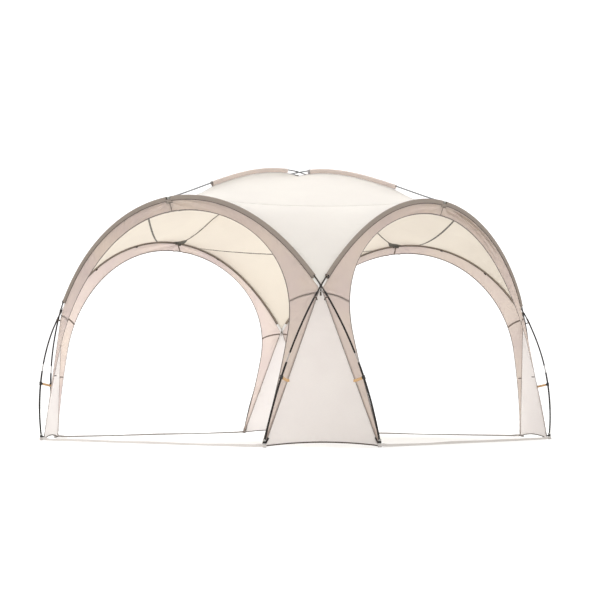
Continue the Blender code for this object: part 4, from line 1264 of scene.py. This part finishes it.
# The shoulder ties. Black webbing that holds the top of each foot panel: one strap up to the rods'
# crossing, and a short one on each side to a loop round the leg pole.
TIE_HALF = 0.0060
TIE_HALF_WALL = 0.0009
TIE_LAP = 0.030
SIDE_TIE_SHARE = 0.955
SIDE_TIE_HEIGHT = 1.004
SIDE_TIE_HALF = 0.0050
TIE_BROWN = (0.095, 0.075, 0.062)
TIE = webbing_material("tie_webbing_brown", TIE_BROWN)
for corner, label in enumerate(CORNERS):
    middle = spin(arch_line(np.array(CROSSING)), corner)
    out = spin(unit(np.array((1.0, -1.0, 0.0))), corner)
    level = spin(unit(np.array((1.0, 1.0, 0.0))), corner)
    lap = panel_point(corner, np.array((0.995, 0.985, 1 - TIE_LAP)), 0.0) + out * (CLOTH_WALL / 2 + TIE_HALF_WALL)
    start = middle - out * (POLE_PASS + POLE_RADIUS + 0.001) + (0, 0, 0.008)
    line = np.vstack((start, start + out * 0.001 - (0, 0, 0.016), lap))
    parts = [(line, level, TIE_HALF, TIE_HALF_WALL)]
    loops = []
    for end, (side, hand) in ((1, (corner, "r")), (-1, ((corner + 1) % 4, "l"))):
        leg_way = leg_lines[f"{SIDES[side]}_{hand}"]
        leg, below = at_height(leg_way, (SIDE_TIE_HEIGHT, SIDE_TIE_HEIGHT - 0.05))
        axis = unit(below - leg)
        sewn = panel_point(corner, SIDE_TIE_SHARE - np.array((0.014, 0.0)), float(end))
        face = out * (CLOTH_WALL + TIE_HALF_WALL)
        reach = unit(sewn[1] - leg)
        line = np.vstack((sewn[0] - level * end * 0.008 + face, sewn[1] + face, leg + reach * LEG_UPPER_RADIUS))
        parts.append((line, axis, SIDE_TIE_HALF, TIE_HALF_WALL))
        loops.append((leg - axis * 0.006, axis, ring_profile(LEG_UPPER_RADIUS * 0.98, 0.0, 0.012)))
    tie = swept(f"shoulder_webbing_{label}", parts, TIE)
    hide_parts(f"shoulder_tie_{label}")
    turned(f"leg_loops_{label}", loops, TIE)

# The leg clips. A black moulded clip snaps round each leg pole, and an orange webbing tab ties it to
# the foot panel's fold. At the ground, black webbing joins the panel's corner to the foot tip.
CLIP_HEIGHT = 0.46
CLIP_RADIUS = 0.0115
CLIP_HALF = 0.0125
CLIP_LUG = 0.012
CLIP_INSET = 0.012
TAB_HALF = 0.0095
TAB_HALF_WALL = 0.0010
HEEL_HALF = 0.0065
HEEL_FOOT = 0.0275
TAB_ORANGE = (0.54, 0.34, 0.17)
TAB_DROP = 0.020
CLIP_PROFILE = tuple((LEG_LOWER_RADIUS + (CLIP_RADIUS - LEG_LOWER_RADIUS) * wide, CLIP_HALF * along) for wide, along in (
    (0.0, -1.0), (0.75, -1.0), (1.0, -0.88), (1.0, -0.40), (0.70, -0.32), (0.70, 0.32),
    (1.0, 0.40), (1.0, 0.88), (0.75, 1.0), (0.0, 1.0),
))
TAB = webbing_material("tab_orange", TAB_ORANGE, rib_pitch=0.0018)
for side, label in enumerate(SIDES):
    for end, hand in ((1, "r"), (-1, "l")):
        name, corner = f"{label}_{hand}", side if end > 0 else (side - 1) % 4
        leg_way = leg_lines[name]
        leg, below = at_height(leg_way, (CLIP_HEIGHT, CLIP_HEIGHT - 0.05))
        axis = unit(below - leg)
        height = (CLIP_HEIGHT - TAB_DROP - HEM_HEIGHT) / (PANEL_TOP - HEM_HEIGHT)
        half = PANEL_FOOT_HALF + (PANEL_TOP_HALF - PANEL_FOOT_HALF) * height
        out = spin(unit(np.array((1.0, -1.0, 0.0))), corner)
        fold, sewn = panel_point(corner, height, end * np.array((1.0, 1 - CLIP_INSET / half)))
        face = out * (CLOTH_WALL / 2 + TAB_HALF_WALL)
        reach = unit(fold - leg)
        clip = turned(f"leg_clip_body_{name}", [(leg, axis, CLIP_PROFILE)], BLACK_PLASTIC)
        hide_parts(f"leg_clip_{name}")
        lug = np.linspace(LEG_LOWER_RADIUS + 0.001, CLIP_RADIUS + CLIP_LUG * 0.5, 5)[:, None] * reach + leg
        swept(f"leg_clip_lug_{name}", [(lug, axis, TAB_HALF * 0.8, 0.0028)], BLACK_PLASTIC)
        start = leg + reach * (CLIP_RADIUS + 0.002)
        line = np.vstack((start, (start + fold + face) / 2, fold + face, sewn + face))
        swept(f"leg_tab_{name}", [(line, axis, TAB_HALF, TAB_HALF_WALL)], TAB)
        foot = leg_way[-1] * (1, 1, 0)
        neck = foot + (0, 0, HEEL_FOOT + HEEL_HALF)
        low = panel_point(corner, np.array((0.022, 0.055)), end * np.array((0.995, 0.985))) + face
        line = np.vstack((neck + unit(low[0] - neck) * FOOT_NECK, low))
        heel = [(line, (0, 0, 1), HEEL_HALF, TIE_HALF_WALL)]
        swept(f"heel_webbing_{name}", heel, BLACK_ELASTIC)
        ring = ring_profile(FOOT_NECK * 0.98, HEEL_FOOT, HEEL_HALF * 2)
        turned(f"heel_loop_{name}", [(foot, (0, 0, 1), ring)], BLACK_ELASTIC)
